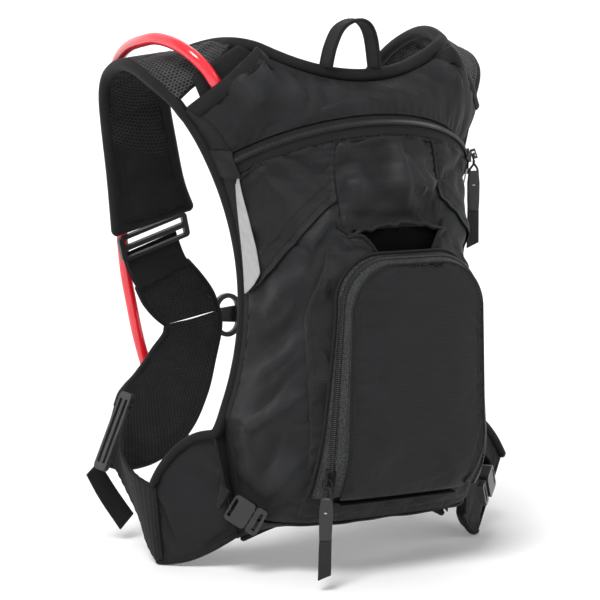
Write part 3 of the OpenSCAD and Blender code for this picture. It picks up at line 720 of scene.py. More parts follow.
BLACK = (0.0038, 0.004, 0.0044)
shell = ripstop("shell_ripstop", (0.0040, 0.0042, 0.0048), (0.0175, 0.018, 0.0193))
shell_turned = ripstop("shell_ripstop_bias", (0.0040, 0.0042, 0.0048), (0.0175, 0.018, 0.0193), turn=-38)
face_cloth = ripstop("pocket_face", (0.0052, 0.0054, 0.006), (0.0165, 0.017, 0.0183), rib=0.5)
side_cloth = ripstop("side_nylon", (0.0052, 0.0054, 0.006), (0.017, 0.0175, 0.0185), rib=0.3, pitch=2.1)
# near-black cloth: painted shade for the inside of the open-topped space
pit = ripstop("stash_shade_cloth", (0.0008, 0.0008, 0.0009), (0.0022, 0.0022, 0.0024), rib=0.2, gloss=0.02)
binding = tape("grosgrain", BLACK, (0.0125, 0.0127, 0.0136), rib=0.85, depth=0.14)
web = tape("webbing", BLACK, (0.014, 0.0143, 0.0152), rib=1.5, across=3.2, depth=0.22)
elastic = tape("elastic", BLACK, (0.0135, 0.0138, 0.0146), rib=1.15, depth=0.3)
dark_tape = tape("zip_tape_dark", (0.005, 0.0052, 0.0056), (0.02, 0.0204, 0.0215), rib=0.9, across=1.6,
                 speck=0.12)
heather = tape("zip_tape_heather", (0.006, 0.0062, 0.0067), (0.058, 0.0595, 0.062), rib=0.9, across=1.6,
               speck=0.75)
pull_tape = tape("pull_tape", (0.009, 0.0092, 0.0098), (0.026, 0.0265, 0.0275), rib=1.2, depth=0.18,
                 rough=0.6)
thread = tape("thread", (0.006, 0.006, 0.0066), (0.03, 0.0305, 0.032), rib=0.5, depth=0.05)
# the first colour of each mesh is the painted shade in its holes
strap_net = netting("strap_mesh", (0.0012, 0.0012, 0.0013), (0.0075, 0.0077, 0.0083), (0.023, 0.0235, 0.025),
                    cell=3.5, size=0.72, turn=18)
top_net = netting("shoulder_mesh", (0.0022, 0.0022, 0.0025), (0.009, 0.0092, 0.0098), (0.10, 0.102, 0.105),
                  cell=3.0, size=0.66, turn=30)
chest_net = netting("chest_mesh", (0.0013, 0.0013, 0.0014), (0.008, 0.0082, 0.0088), (0.028, 0.0285, 0.03),
                    cell=2.7, size=0.66, depth=0.5)
back_net = netting("back_mesh", (0.0022, 0.0022, 0.0025), (0.009, 0.0092, 0.0098), (0.032, 0.0325, 0.034),
                   cell=3.6)
plastic = moulded("black_acetal", (0.0085, 0.0087, 0.0092), (0.045, 0.046, 0.048), rough=0.36)
lacquer = moulded("black_lacquer", (0.004, 0.004, 0.0044), (0.02, 0.02, 0.02), rough=0.45, depth=0.02,
                  Specular_IOR_Level=0.22)
rubber = moulded("pull_rubber", (0.010, 0.0102, 0.0108), (0.032, 0.0325, 0.034), rough=0.5, depth=0.08)
smoke = moulded("smoke_plastic", (0.30, 0.31, 0.32), (0.52, 0.53, 0.54), rough=0.22, depth=0.03,
                Transmission_Weight=0.35, IOR=1.49)
valve = moulded("valve_grey", (0.02, 0.02, 0.022), (0.06, 0.06, 0.063), rough=0.3, depth=0.03,
                Coat_Weight=0.2)
red = moulded("hose_red", (0.74, 0.006, 0.022), (0.86, 0.022, 0.05), rough=0.2, depth=0.012, grain=0.5,
              Subsurface_Weight=0.25, Subsurface_Radius=(0.006, 0.0009, 0.0009), Coat_Weight=0.75,
              Coat_Roughness=0.06, Specular_IOR_Level=0.6)
film = moulded("bladder_film", (0.20, 0.35, 0.44), (0.34, 0.48, 0.56), rough=0.25, depth=0.1, grain=0.3)
cap = moulded("cap_blue", (0.04, 0.17, 0.23), (0.10, 0.26, 0.32), rough=0.33)
trim = glass_bead("reflective_bead")
coil_black = moulded("coil_nylon", (0.010, 0.0102, 0.011), (0.05, 0.051, 0.053), rough=0.38, depth=0.03)
pale_mark = moulded("pull_mark", (0.35, 0.35, 0.34), (0.5, 0.5, 0.49), rough=0.5)


# ---------- camera, light and floor ----------
AIM, BACK, RISE = Vector((-0.020, -0.008, 0.201)), math.radians(-30), math.radians(7)
AWAY = Vector((math.sin(BACK) * math.cos(RISE), -math.cos(BACK) * math.cos(RISE), math.sin(RISE)))
eye = bpy.data.objects.new("camera", bpy.data.cameras.new("camera"))
scene.collection.objects.link(eye)
eye.location = AIM + 1.8 * AWAY
eye.rotation_mode = "QUATERNION"
eye.rotation_quaternion = (-AWAY).to_track_quat("-Z", "Y")
eye.data.lens, eye.data.sensor_width = 135, 36
scene.camera = eye


def sun(name, spot, strength, spread):
    light = bpy.data.lights.new(name, "SUN")
    light.energy, light.angle = strength, math.radians(spread)
    made = bpy.data.objects.new(name, light)
    made.location = spot
    made.rotation_euler = (-Vector(spot)).to_track_quat("-Z", "Y").to_euler()
    scene.collection.objects.link(made)


sun("key", (-1.5, -1.3, 2.5), 2.5, 24)
sun("fill", (2.0, -1.6, 1.0), 0.5, 40)
sun("rim", (1.2, 1.6, 1.9), 1.6, 30)
scene.world = bpy.data.worlds.new("studio")
scene.world.use_nodes = True
scene.world.node_tree.nodes["Background"].inputs[0].default_value = (1, 1, 1, 1)
scene.world.node_tree.nodes["Background"].inputs[1].default_value = 0.6
floor_mesh = bpy.data.meshes.new("floor")
floor_mesh.from_pydata([(-40, -40, 0), (40, -40, 0), (40, 9, 0), (-40, 9, 0), (40, 14, 5), (-40, 14, 5),
                        (40, 14, 30),
                        (-40, 14, 30)], [], [(0, 1, 2, 3), (3, 2, 4, 5), (5, 4, 6, 7)])
floor = bpy.data.objects.new("floor", floor_mesh)
scene.collection.objects.link(floor)
pale = bpy.data.materials.new("pale_floor")
pale.use_nodes = True
pale.node_tree.nodes["Principled BSDF"].inputs["Base Color"].default_value = (0.9, 0.9, 0.9, 1)
pale.node_tree.nodes["Principled BSDF"].inputs["Roughness"].default_value = 0.85
floor_mesh.materials.append(pale)


def line(values, count):
    return np.linspace(values[0], values[1], count)


def steps(count):
    """Even shares from 0 to 1."""
    return line((0, 1), count)


# ---------- drinking hose ----------
HOSE_D = 9.6
hose_line = curve(HOSE, steps(150))
hose = tube("hose", hose_line, HOSE_D / 2, red, sides=22, slot="hose_red", replaces=["drink_hose"])

# ---------- bag shell ----------
SEAM, EDGE = 0.33, 0.965
s_line = np.concatenate([line((-EDGE, -SEAM), 52)[:-1], line((-SEAM, SEAM), 66), line((SEAM, EDGE), 52)[1:]])
bag_s, bag_v = np.meshgrid(s_line, steps(110))
across, height = 100 * bag_s, mix(SHELL_FOOT_Z, bag_point(bag_s, np.ones_like(bag_s))[..., 2], bag_v)
bag = bag_point(bag_s, bag_v)
bag_out = facing(bag)
rim_away = np.minimum(np.minimum(bag_v, 1 - bag_v) * 230, (EDGE - np.abs(bag_s)) * 110)
seam_away = np.abs(np.abs(across) - 100 * SEAM)
quiet = ease(rim_away / 14)
BAG_FOLDS = [
    (2, 318, 9, 264, 3.0, 6), (11, 302, 14, 264, 2.8, 5), (-24, 292, -20, 262, 1.4, 7),
    (22, 300, 25, 266, 1.6, 6),
    (-36, 262, -52, 232, 2.0, 7), (-60, 222, -88, 186, 2.4, 6), (-62, 204, -91, 164, -2.2, 4),
    (-61, 188, -88, 144, 2.8, 6), (-60, 166, -84, 122, -2.4, 4), (-61, 148, -88, 104, 2.8, 6),
    (-64, 116, -84, 80, -2.2, 4), (-62, 98, -80, 62, 2.2, 6), (-90, 150, -88, 70, 1.4, 6),
    (58, 250, 80, 205, 1.6, 9), (60, 180, 84, 130, 1.8, 10),
    (52, 120, 80, 84, 1.6, 9), (76, 300, 66, 270, 1.2, 8), (-78, 300, -62, 262, 1.1, 8)]
free = np.maximum(ease((np.abs(across) - 62) / 12), ease((height - 205) / 30))
swell = (folds(across, height, BAG_FOLDS) + rumple(across, height, 1.1, 11)) * mix(1.0, 1.7, free)
puffed = 7.0 * np.exp(-(((height - 275) / 8) ** 2)) * ease((33 - np.abs(across)) / 7)
tucked = -2.5 * np.exp(-(((height - 252) / 8) ** 2)) * ease((31 - np.abs(across)) / 12)
bag = bag + ((swell * ease(seam_away / 5) + puffed + tucked) * quiet)[..., None] * bag_out
bag += (pucker(height, seam_away) * quiet)[..., None] * bag_out
bag_pin = ((rim_away < 0.5) | (seam_away < 0.4)).astype(float)

# ---------- the panel above the zip ----------
up_s, up_w = np.meshgrid(line((-0.985, 0.985), 150), steps(44))
upper = upper_point(up_s, up_w)
up_x, up_h = 128 * up_s, 330 + 60 * up_w
up_away = np.minimum(np.minimum(up_w, 1 - up_w) * 62, (0.985 - np.abs(up_s)) * 128)
UP_FOLDS = [(-104, 392, -94, 352, 2.2, 6), (-90, 396, -86, 362, 1.6, 5), (70, 392, 96, 362, 1.8, 6),
            (84, 396, 112, 376, 1.3, 5), (44, 392, 62, 368, 1.0, 7), (-50, 340, -10, 352, 0.8, 6),
            (-70, 388, -62, 352, 1.0, 8), (10, 394, 14, 366, 0.7, 9)]
up_swell = 1.5 * folds(up_x, up_h, UP_FOLDS) + rumple(up_x, up_h, 1.1, 5) + pucker(up_x, up_w * 62, 0.3)
upper += (up_swell * ease(up_away / 10))[..., None] * facing(upper)

# ---------- the panel that the pocket is sewn to, with its dipped upper edge ----------
def stash_top(x):
    a = np.abs(x)
    return 249 + 15 * ease((a - 22) / 14) + 9 * ease((a - 40) / 12)


def stash_surface(u, v):
    z0 = mix(50, 262, v)
    x = mix(80, 52, ease((z0 - 190) / 80)) * (2 * u - 1)
    z = mix(50, stash_top(x), v)
    away = mix(1.2, 10, ease((z - 60) / 150)) - 8.5 * ease((np.abs(x) - 36) / 14) * ease((z - 232) / 26)
    return xyz(x, bag_y(x, z) - away, z)


st_u, st_v = np.meshgrid(steps(110), steps(96))
stash = stash_surface(st_u, st_v)
st_away = np.minimum(np.minimum(st_v * 212, (1 - st_v) * 212), (0.5 - np.abs(st_u - 0.5)) * 140)
STASH_FOLDS = [(-76, 190, -66, 150, 1.6, 7), (-60, 258, -66, 214, 2.2, 5), (-74, 140, -66, 100, 1.4, 7),
               (-50, 268, -44, 252, 1.6, 4), (48, 266, 44, 250, 1.6, 4), (62, 240, 68, 200, 1.6, 6),
               (70, 170, 76, 120, 1.5, 7), (-78, 100, -70, 66, 1.2, 7)]
stash += ((1.5 * folds(stash[..., 0], stash[..., 2], STASH_FOLDS) + rumple(stash[..., 0], stash[..., 2],
                                                                           1.0, 3))
          * ease(st_away / 9))[..., None] * facing(stash)

# the inside of the open-topped space, a near-black sheet of painted shade, and the gathered hem over it
li_u, li_v = np.meshgrid(line((-38, 38), 40), steps(16))
li_z = mix(228, 267, li_v)
shade_sheet = xyz(li_u, bag_y(li_u, li_z) - 3.0, li_z)

# ---------- pocket face ----------
ld_u, ld_v = np.meshgrid(steps(90), steps(100))
lid = lid_point(ld_u, ld_v)
ld_away = np.minimum((0.5 - np.abs(ld_u - 0.5)) * 125, np.minimum(ld_v, 1 - ld_v) * 176)
LID_FOLDS = [(-58, 226, -30, 214, 0.7, 6), (-60, 150, -34, 156, 0.6, 7), (-40, 72, 30, 80, 0.5, 8),
             (56, 120, 40, 90, 0.5, 8)]
lid += ((folds(lid[..., 0], lid[..., 2], LID_FOLDS) + rumple(lid[..., 0], lid[..., 2], 0.4, 9, 30, 90))
        * ease(ld_away / 8))[..., None] * facing(lid)


# ---------- padded pieces: crowned on both faces, closed at the rim ----------
def crown(f, us, vs, thick, edge=0.35):
    """Two faces that meet at the rim. edge is the thickness left there, as a share."""
    u, v = np.meshgrid(us, vs)
    mid = f(u, v)
    n = facing(mid)
    d = np.minimum(np.minimum(u, 1 - u) / 0.12, np.minimum(v, 1 - v) / 0.05)
    t = thick / 2 * mix(edge, 1.0, np.sqrt(np.clip(1 - (1 - np.clip(d, 0, 1)) ** 2, 0, 1)))
    return mid + n * t[..., None], mid - n * t[..., None]


def two_faced(front, back):
    nv, nu = front.shape[0] - 1, front.shape[1] - 1
    count = (nu + 1) * (nv + 1)
    verts = np.concatenate([front.reshape(-1, 3), back.reshape(-1, 3)])
    return verts, quads(nu, nv) + quads(nu, nv, count, True) + border(nu, nv, count), count


def ribbon(first, second):
    return lambda u, v: mix(curve(first, v), curve(second, v), u[..., None])


def rim_pin(front):
    pin = np.zeros(front.shape[:2])
    pin[0] = pin[-1] = 1
    pin[:, 0] = pin[:, -1] = 1
    return pin


STRAP_T, WING_T = 9.0, 8.0
STRAP_RIMS = {"left": (STRAP_INNER, STRAP_OUTER), "right": (RIGHT_INNER, RIGHT_OUTER)}
strap_pairs = {tag: crown(ribbon(*rims), steps(19), steps(96), STRAP_T - 1.2, 0.5)
               for tag, rims in STRAP_RIMS.items()}
def wing_mid(top, foot):
    def flat(u, v):
        return mix(curve(foot, 1 - u), curve(top, 1 - u), v[..., None])

    return lambda u, v: flat(u, v) - WING_T / 2 * facing(flat(u, v))


WING_RIMS = {"left": (WING_TOP, WING_FOOT), "right": (RIGHT_WING_TOP, RIGHT_WING_FOOT)}
wing_pairs = {tag: crown(wing_mid(*rims), steps(34), steps(44), WING_T - 1.5, 0.4)
              for tag, rims in WING_RIMS.items()}
back_front = grid(back_point, steps(72), steps(100))
back_in = facing(back_front)


def job(pair, **how):
    verts, faces, _ = two_faced(*pair)
    pin = np.tile(rim_pin(pair[0]).ravel(), 2)
    return dict(p=verts, faces=faces, pin=pin, **how)


def open_job(p, pin, **how):
    return dict(p=p, faces=quads(p.shape[1] - 1, p.shape[0] - 1), pin=pin, **how)


results = simulate([
    open_job(bag, bag_pin, pressure=1.2, slack=0.035, cap=2.6),
    open_job(upper, rim_pin(upper), pressure=1.0, slack=0.03, cap=2.2),
    open_job(stash, rim_pin(stash), pressure=0.8, slack=0.035, cap=2.2),
    open_job(lid, rim_pin(lid), pressure=1.0, slack=0.015, cap=1.6),
    job(strap_pairs["left"], pressure=4, slack=0.02, cap=1.6),
    job(strap_pairs["right"], pressure=4, slack=0.02, cap=1.6),
    job(wing_pairs["left"], pressure=4, slack=0.03, cap=2.5),
    job(wing_pairs["right"], pressure=4, slack=0.03, cap=2.5)])
bag, upper, stash, lid, left_strap, right_strap, left_wing, right_wing = results
strap_verts = {"left": left_strap, "right": right_strap}
wing_verts = {"left": left_wing, "right": right_wing}

threads = Seams()
lid_threads = Seams()


def sample(surface, cols, rows, c, r):
    """A point and normal of a grid at columns and rows read off their own scales."""
    i = np.interp(c, cols, np.arange(len(cols)))
    j = np.interp(r, rows, np.arange(len(rows)))
    n = facing(surface)
    i0, j0 = np.minimum(i.astype(int), len(cols) - 2), np.minimum(j.astype(int), len(rows) - 2)
    a, b = (i - i0)[..., None], (j - j0)[..., None]

    def read(g):
        return mix(mix(g[j0, i0], g[j0, i0 + 1], a), mix(g[j0 + 1, i0], g[j0 + 1, i0 + 1], a), b)

    return read(surface), unit(read(n))


V_LINE = steps(110)


def on_bag(s, v, lift=0.0):
    p, n = sample(bag, s_line, V_LINE, np.asarray(s, float), np.asarray(v, float))
    return p + lift * n, n


def stitch_bag(s, v, lift=0.25, pitch=2.9):
    threads.sew(*on_bag(s, v), lift=lift, pitch=pitch)


FABRIC_T = 1.6
cut = [0, 51, 116, len(s_line) - 1]
# painted highlight on fold crests, and part wear, part painted highlight near seams and rims
crest = np.clip(swell / 2.6, 0, 1) + 0.5 * np.exp(-np.minimum(seam_away, rim_away) / 2.0)
for name, k, node, stuff, slot in (("front_shell", 1, "front_panel", shell, "ripstop"),
                                   ("side_shell_left", 0, "side_panel_left", shell, "side_fabric"),
                                   ("side_shell_right", 2, "side_panel_right", shell, "side_fabric")):
    part = slice(cut[k], cut[k + 1] + 1)
    slab(name, bag[:, part], FABRIC_T, stuff, slot=slot, replaces=[node], wear=crest[:, part],
         held="stretched")
# the upper panel: painted highlight on its fold crests, and part wear, part painted highlight at its rims
slab("upper_shell", upper, FABRIC_T, shell, slot="ripstop", replaces=["upper_panel"],
     wear=np.clip(up_swell / 2.2, 0, 1) + 0.4 * np.exp(-up_away / 2.5), held="stretched")
# the stash panel: part wear, part painted highlight along its rims
slab("stash_shell", stash, FABRIC_T, shell, slot="ripstop", replaces=["stash_panel"],
     wear=0.5 * np.exp(-st_away / 2.5), held="stretched")


def floor_point(u, v):
    p = bag_point(EDGE * (2 * u - 1), np.zeros_like(u))
    x = p[..., 0]
    return mix(xyz(x, p[..., 1] + 0.5, p[..., 2] - 2.2), xyz(x, back_y(x) - 2, hem(x) + 3),
               (1 - v)[..., None])


under = grid(floor_point, steps(70), steps(24))
under += (rumple(under[..., 0], under[..., 1], 0.7, 21))[..., None] * facing(under)
slab("floor_shell", under, FABRIC_T, side_cloth, slot="side_fabric", replaces=["bottom_panel"],
     held="stretched")

# ---------- the upper side panels, which lap over the shell along a slanting edge ----------
def slant(s):
    return 0.77 - 0.271 * (np.abs(s) - 0.324)


for side, tag, stuff in ((-1, "left", shell_turned), (1, "right", ripstop(
        "shell_ripstop_bias_right", (0.0040, 0.0042, 0.0048), (0.0175, 0.018, 0.0193), turn=38))):
    s0, s1 = sorted((side * SEAM, side * 0.955))
    lap_s, lap_w = np.meshgrid(line((s0, s1), 70), steps(56))
    lap, lap_n = on_bag(lap_s, mix(slant(lap_s), 0.992, lap_w))
    away = np.minimum(lap_w * 75, np.minimum(lap_s - s0, s1 - lap_s) * 110)
    lip = 1.5 + 1.1 * np.exp(-lap_w * 14)
    lip = lip * ease((1 - lap_w) * 12) + 0.5 * (1 - ease((1 - lap_w) * 12))
    lap = lap + lip[..., None] * lap_n
    # part wear, part painted highlight along the lap's raised edges
    slab(f"side_lap_{tag}", lap, 0.9, stuff, slot="ripstop", wear=0.7 * np.exp(-away / 2.0),
         held="stretched")
    for rise in (0.020, 0.052):
        s = line((side * 0.34, side * 0.94), 60)
        p, n = on_bag(s, slant(s) + rise)
        threads.sew(p, n, lift=2.0 + 1.1 * math.exp(-rise * 60))
    v = line((0.79, 0.975), 40)
    p, n = on_bag(np.full(40, side * (SEAM + 0.022)), v)
    threads.sew(p, n, lift=1.9)
    p, n = on_bag(np.full(40, side * SEAM), v)
    tube(f"seam_ridge_{tag}", p + n * 0.9, 0.75, shell, sides=8, slot="ripstop")
    # the reflective strip beside the bound edge
    k, w = np.meshgrid(steps(12), steps(60))
    v = mix(0.60, 0.955, w)
    inner = np.interp(v, [0.60, 0.617, 0.64, 0.70, 0.79, 0.90, 0.955],
                      [0.955, 0.905, 0.858, 0.862, 0.886, 0.930, 0.950])
    strip_s = mix(np.full_like(inner, 0.968), inner, k)
    p = bag_point(side * np.minimum(strip_s, EDGE), v)
    n = facing(p) * (1 if side < 0 else -1)
    n = n * np.where((n[..., 1] < 0).mean() > 0.5, 1, -1)
    strip = p + (3.9 - 0.7 * k)[..., None] * n
    if side > 0:
        strip = strip[:, ::-1]
    slab(f"reflective_strip_{tag}", strip, 0.6, trim, slot="reflective", replaces=[f"reflective_{tag}"])

# stitching along the shell's seams
for side in (-1, 1):
    v = line((0.03, 0.66), 70)
    stitch_bag(np.full(70, side * (SEAM + 0.02)), v)
    s = line((side * 0.30, 0.0), 30)
    stitch_bag(s, np.full(30, 0.972))
    threads.sew(*sample(stash, steps(110), steps(96), np.full(60, 0.5 + side * 0.478),
                        line((0.03, 0.97), 60)), lift=0.2)
edge_u = line((0.02, 0.98), 120)
p, n = sample(stash, steps(110), steps(96), edge_u, np.full(120, 0.972))
threads.sew(p, n, lift=0.2)
# the near-black sheet of painted shade inside the open-topped space
slab("stash_shade_sheet", shade_sheet, 1.0, pit, slot="side_fabric", held="hung")
hem_s = line((-0.325, 0.325), 90)
hem_v = 0.690 + 0.006 * np.cos(hem_s * 9) + 0.0016 * np.sin(hem_s * 47) + 0.0012 * np.sin(hem_s * 83 + 1)
p, n = on_bag(hem_s, hem_v)
tube("flap_hem", p + (2.4 + 2.6 * ease((0.325 - np.abs(hem_s)) / 0.06))[:, None] * n, 1.9, shell,
     sides=12, slot="ripstop")
p, n = sample(stash, steps(110), steps(96), steps(140), np.full(140, 0.995))
tube("stash_hem", p + 0.1 * n, 1.5, binding, sides=10, slot="binding")

# ---------- main zip ----------
def zip_grid(low, high, rows, sink, last=60.5):
    u, v = np.meshgrid(line((-56.5, last), 150), line((low, high), rows))
    p = zip_point(u, v)
    return p - sink * facing(p)


slab("zip_tape_upper", zip_grid(0.9, 10.5, 8, 0.9), 0.7, dark_tape, slot="zip")
slab("zip_tape_lower", zip_grid(-13.0, -0.9, 9, 0.9), 0.7, dark_tape, slot="zip")
zip_a = line((-56.5, 60), 240)
zip_mid = zip_point(zip_a, 0)
zip_out = facing(zip_grid(-1, 1, 3, 0, 60))[1]
zip_n = read_off(steps(240), steps(150), zip_out)
spots, way, share = evenly(zip_mid, 1.5)
ups = read_off(share, steps(240), zip_n)
rise = np.cross(ups, way)
beads("main_zip_teeth", spots + 0.2 * ups, rise, ups, (2.5, 0.52, 1.35), coil_black, slot="zip",
      replaces=["main_zip_coil"])
for name, at, lift in (("zip_piping_upper", 9.4, 0.6), ("zip_piping_lower", -12.0, 0.4)):
    a = line((-56.5, 59.5), 170)
    base = zip_point(a, at)
    n = read_off(steps(170), steps(150), zip_out)
    tube(name, base + lift * n, 0.8, shell, sides=8, slot="ripstop")
    threads.sew(zip_point(a, at + (2.2 if at > 0 else 3.0)), n, lift=0.5)
stop = zip_point(np.full(12, -56.6), line((-11.5, 9.0), 12))
tube("zip_stop_bar", stop + 0.2 * zip_n[0], 1.2, binding, sides=8, slot="binding")

# ---------- pocket: tape, coil, piping, face and floor ----------
t_line = line((0.012, 0.988), 200)


def between(share, t):
    """A line on the zip's slope: share 0 at the pack, 0.42 at the coil, 1 at the face's rim."""
    k = np.asarray(share, float)[..., None]
    return np.where(k < 0.42, mix(base_rim(t), coil_line(t), k / 0.42),
                    mix(coil_line(t), face_rim(t), (k - 0.42) / 0.58))


def slope(low, high, rows, lift=0.0):
    t, k = np.meshgrid(t_line, line((low, high), rows))
    p = between(k, t)
    n = facing(p)
    return p + lift * n


out_check = facing(slope(0.1, 0.9, 5))[2, 100]
outward = 1.0 if out_check[2] > 0 else -1.0


def slope_slab(name, low, high, rows, lift, below, stuff, **how):
    p = slope(low, high, rows, lift * outward)
    slab(name, p if outward > 0 else p[:, ::-1], below, stuff, **how)


slope_slab("pocket_gusset_cloth", 0.0, 0.13, 4, 0.2, 1.2, side_cloth, slot="side_fabric",
           replaces=["pocket_gusset"])
slope_slab("pocket_tape_base", 0.10, 0.405, 8, 0.0, 0.8, heather, slot="zip")
slope_slab("pocket_tape_face", 0.435, 0.97, 8, 0.0, 0.8, heather, slot="zip", body="pocket_lid")
coil = coil_line(t_line)
coil_n = facing(slope(0.38, 0.46, 3))[1] * outward
spots, way, share = evenly(coil, 1.5)
ups = read_off(share, steps(200), coil_n)
cross = np.cross(ups, way)
beads("pocket_zip_teeth", spots + 0.3 * ups, cross, ups, (2.5, 0.52, 1.3), coil_black, slot="zip",
      replaces=["pocket_coil"])
base_n = facing(slope(0.0, 0.2, 3))[0] * outward
tube("pocket_piping_base", between(np.full(200, 0.07), t_line) + 0.7 * base_n, 1.35, binding, sides=10,
     slot="binding")
tube("pocket_piping_face", face_rim(t_line) + xyz(0, 0.4, 0) * np.ones((200, 1)), 1.45, binding, sides=10,
     slot="binding", body="pocket_lid")
for share, lift in ((0.17, 0.15), (0.30, 0.1)):
    threads.sew(between(np.full(200, share), t_line), facing(slope(0.1, 0.35, 3))[1] * outward, lift=lift)
for share in (0.55, 0.86):
    lid_threads.sew(between(np.full(200, share), t_line), facing(slope(0.6, 0.9, 3))[1] * outward, lift=0.1)
# part wear, part painted highlight along the pocket face's rim
slab("pocket_face", lid, 1.6, face_cloth, slot="ripstop", body="pocket_lid", replaces=["pocket_lid"],
     wear=0.6 * np.exp(-ld_away / 2.2), held="stretched")
for inset in (3.2, 6.0):
    k = 0.5 - inset / 130
    u = np.concatenate([np.full(60, 0.5 - k), line((0.5 - k, 0.5 + k), 40), np.full(60, 0.5 + k)])
    top = 1 - inset / 176 * 0.55
    v = np.concatenate([line((0.02, top), 60), np.full(40, top), line((top, 0.02), 60)])
    p, n = sample(lid, steps(90), steps(100), u, v)
    lid_threads.sew(p, n, lift=0.2)
lid_threads.make("pocket_stitches", thread, body="pocket_lid", slot="binding")


def pocket_floor(u, v):
    x = mix(-58, 45, u)
    back = stash_y(x, np.full_like(x, 60.0)) - 2.6
    return xyz(x, mix(face_y(65) + 1.5, back, 1 - v), 60.2 + 1.2 * np.sin(np.pi * v))


base = grid(pocket_floor, steps(40), steps(12))
slab("pocket_floor", base, 1.4, side_cloth, slot="side_fabric", held="stretched")

# ---------- bound edges ----------
def outline(side_z):
    return xyz(-(half_w(side_z) + 0.5), back_y(half_w(side_z)) + 1.6, side_z)


half_neck = line((-88, 88), 80)
neck_line = xyz(half_neck, back_y(half_neck) + 4, neck(half_neck) - 2.6)
inner_left = curve(STRAP_INNER, line((1, 0), 90))
inner_right = flipped(curve(RIGHT_INNER, steps(90)), -1)
neckline = np.concatenate([inner_left, neck_line[1:-1], inner_right])
smooth = neckline.copy()
for _ in range(6):
    smooth[1:-1] = (smooth[:-2] + 2 * smooth[1:-1] + smooth[2:]) / 4
share = steps(len(smooth))
middle = ease((0.5 - np.abs(share - 0.5) - 0.30) / 0.05)
tube("binding_neckline", smooth, mix(4.9, 5.4, middle), binding, sides=18, slot="binding",
     replaces=["neck_binding"])
for side, tag in ((1, "left"), (-1, "right")):
    path = np.concatenate([curve(STRAP_RIMS[tag][1], line((1, 0), 90)), outline(line((343, 116), 80)),
                           curve([[-112.5, 29, 108], *WING_RIMS[tag][0]], line((0.12, 1), 30))])
    for _ in range(8):
        path[1:-1] = (path[:-2] + 2 * path[1:-1] + path[2:]) / 4
    size = np.concatenate([np.full(90, 4.9), np.full(80, 4.3), line((4.3, 3.4), 30)])
    tube(f"binding_side_{tag}", path, size, binding, sides=16, slot="binding", replaces=[f"binding_{tag}"],
         side=side)
    foot = curve(WING_RIMS[tag][1], steps(30)) + np.array([0.5, 2.5, -0.4])
    foot[:, 2] = np.maximum(foot[:, 2], 2.9)
    tube(f"wing_hem_{tag}", foot, 2.6, binding, sides=10, slot="binding", side=side)

    # the wing's cloth carried on to the bag's edge
    w, v = np.meshgrid(steps(8), steps(30))
    far = mix(np.array(WING_RIMS[tag][1][0]), np.array(WING_RIMS[tag][0][0]),
              v[..., None]) + np.array([-2.5, 0.0, 0])
    near = outline(mix(36.0, 114.0, v)) + np.array([1.0, 0.6, 0])
    slab(f"wing_gusset_{tag}", mix(near, far, w[..., None]), 1.2, face_cloth, slot="ripstop", side=side,
         held="stretched")

    # the patch over the zip's end, and the shell's edge turned in under the binding
    a, rise = np.meshgrid(steps(14), line((-14.5, 11.5), 20))
    begin = zip_point(np.full_like(a, -55.5 if tag == "left" else -59.5), rise)
    finish = outline(begin[..., 2])
    patch = mix(begin, finish, a[..., None]) + xyz(-1.5, -1.8, 0) * (1 - 0.6 * a[..., None])
    patch = patch + xyz(-2.0, -1.0, 0) * np.sin(np.pi * a)[..., None]
    slab(f"zip_end_{tag}", patch[:, ::-1], 1.0, shell, slot="ripstop", side=side)
    for part, rim in (("low", bag[:, 0] if side > 0 else bag[:, -1]),
                      ("high", upper[:, 0] if side > 0 else upper[:, -1])):
        tucked_in = outline(np.clip(rim[:, 2], 100, 352)) if part == "high" else outline(rim[:, 2])
        tucked_in[:, 2] = rim[:, 2]
        start = flipped(rim, side) + np.array([0.3, -0.8, 0])
        turn = mix(start[:, None], tucked_in[:, None], steps(6)[None, :, None])
        turn[..., 0] -= 1.6 * np.sin(np.pi * steps(6))[None]
        slab(f"edge_turn_{part}_{tag}", turn[:, ::-1], 1.0, shell, slot="ripstop", side=side)

# ---------- back panel ----------
front_face = back_front - 0.2 * back_in
inner_u, inner_v = np.meshgrid(steps(72), steps(100))
rim = np.minimum((0.5 - np.abs(inner_u - 0.5)) * 190, (0.5 - np.abs(inner_v - 0.5)) * 350)
foam = 9.4 * np.sqrt(np.clip(1 - (1 - np.clip(rim / 9, 0, 1)) ** 2, 0.05, 1))
verts, faces, _ = two_faced(front_face, back_front - foam[..., None] * back_in)
back = piece("back_pad", verts, faces, side_cloth, slot="padding", replaces=["back_panel"],
             uv=np.tile(lengths(back_front).reshape(-1, 2), (2, 1)))
low_edge = back_front[0] - 2.0 * back_in[0]
for _ in range(6):
    low_edge[1:-1] = (low_edge[:-2] + 2 * low_edge[1:-1] + low_edge[2:]) / 4
tube("hem_binding", low_edge, 2.6, binding, sides=12, slot="binding")


def pads(x, z):
    """Raised quilted pads with channels between them, from 0 in a channel to 1 on a pad."""
    out = np.zeros_like(x)
    for x0, x1, z0, z1 in ((-88, -9, 250, 372), (9, 88, 250, 372), (-84, -9, 140, 240), (9, 84, 140, 240),
                           (-86, 86, 50, 130)):
        d = np.minimum(np.minimum(x - x0, x1 - x), np.minimum(z - z0, z1 - z))
        out = np.maximum(out, np.sqrt(np.clip(1 - (1 - np.clip(d / 13, 0, 1)) ** 2, 0, 1)))
    return out


mesh_mid = grid(lambda u, v: back_point(mix(0.045, 0.955, u), mix(0.03, 0.97, v)), steps(90), steps(130))
mesh_in = facing(mesh_mid)
raised = 9.6 + 3.6 * pads(mesh_mid[..., 0], mesh_mid[..., 2]) + rumple(mesh_mid[..., 0], mesh_mid[..., 2],
                                                                       0.25, 14)
outer = mesh_mid - raised[..., None] * mesh_in
quilt = slab("back_quilt", outer[:, ::-1], 1.4, back_net, slot="air_mesh", replaces=["back_mesh"])

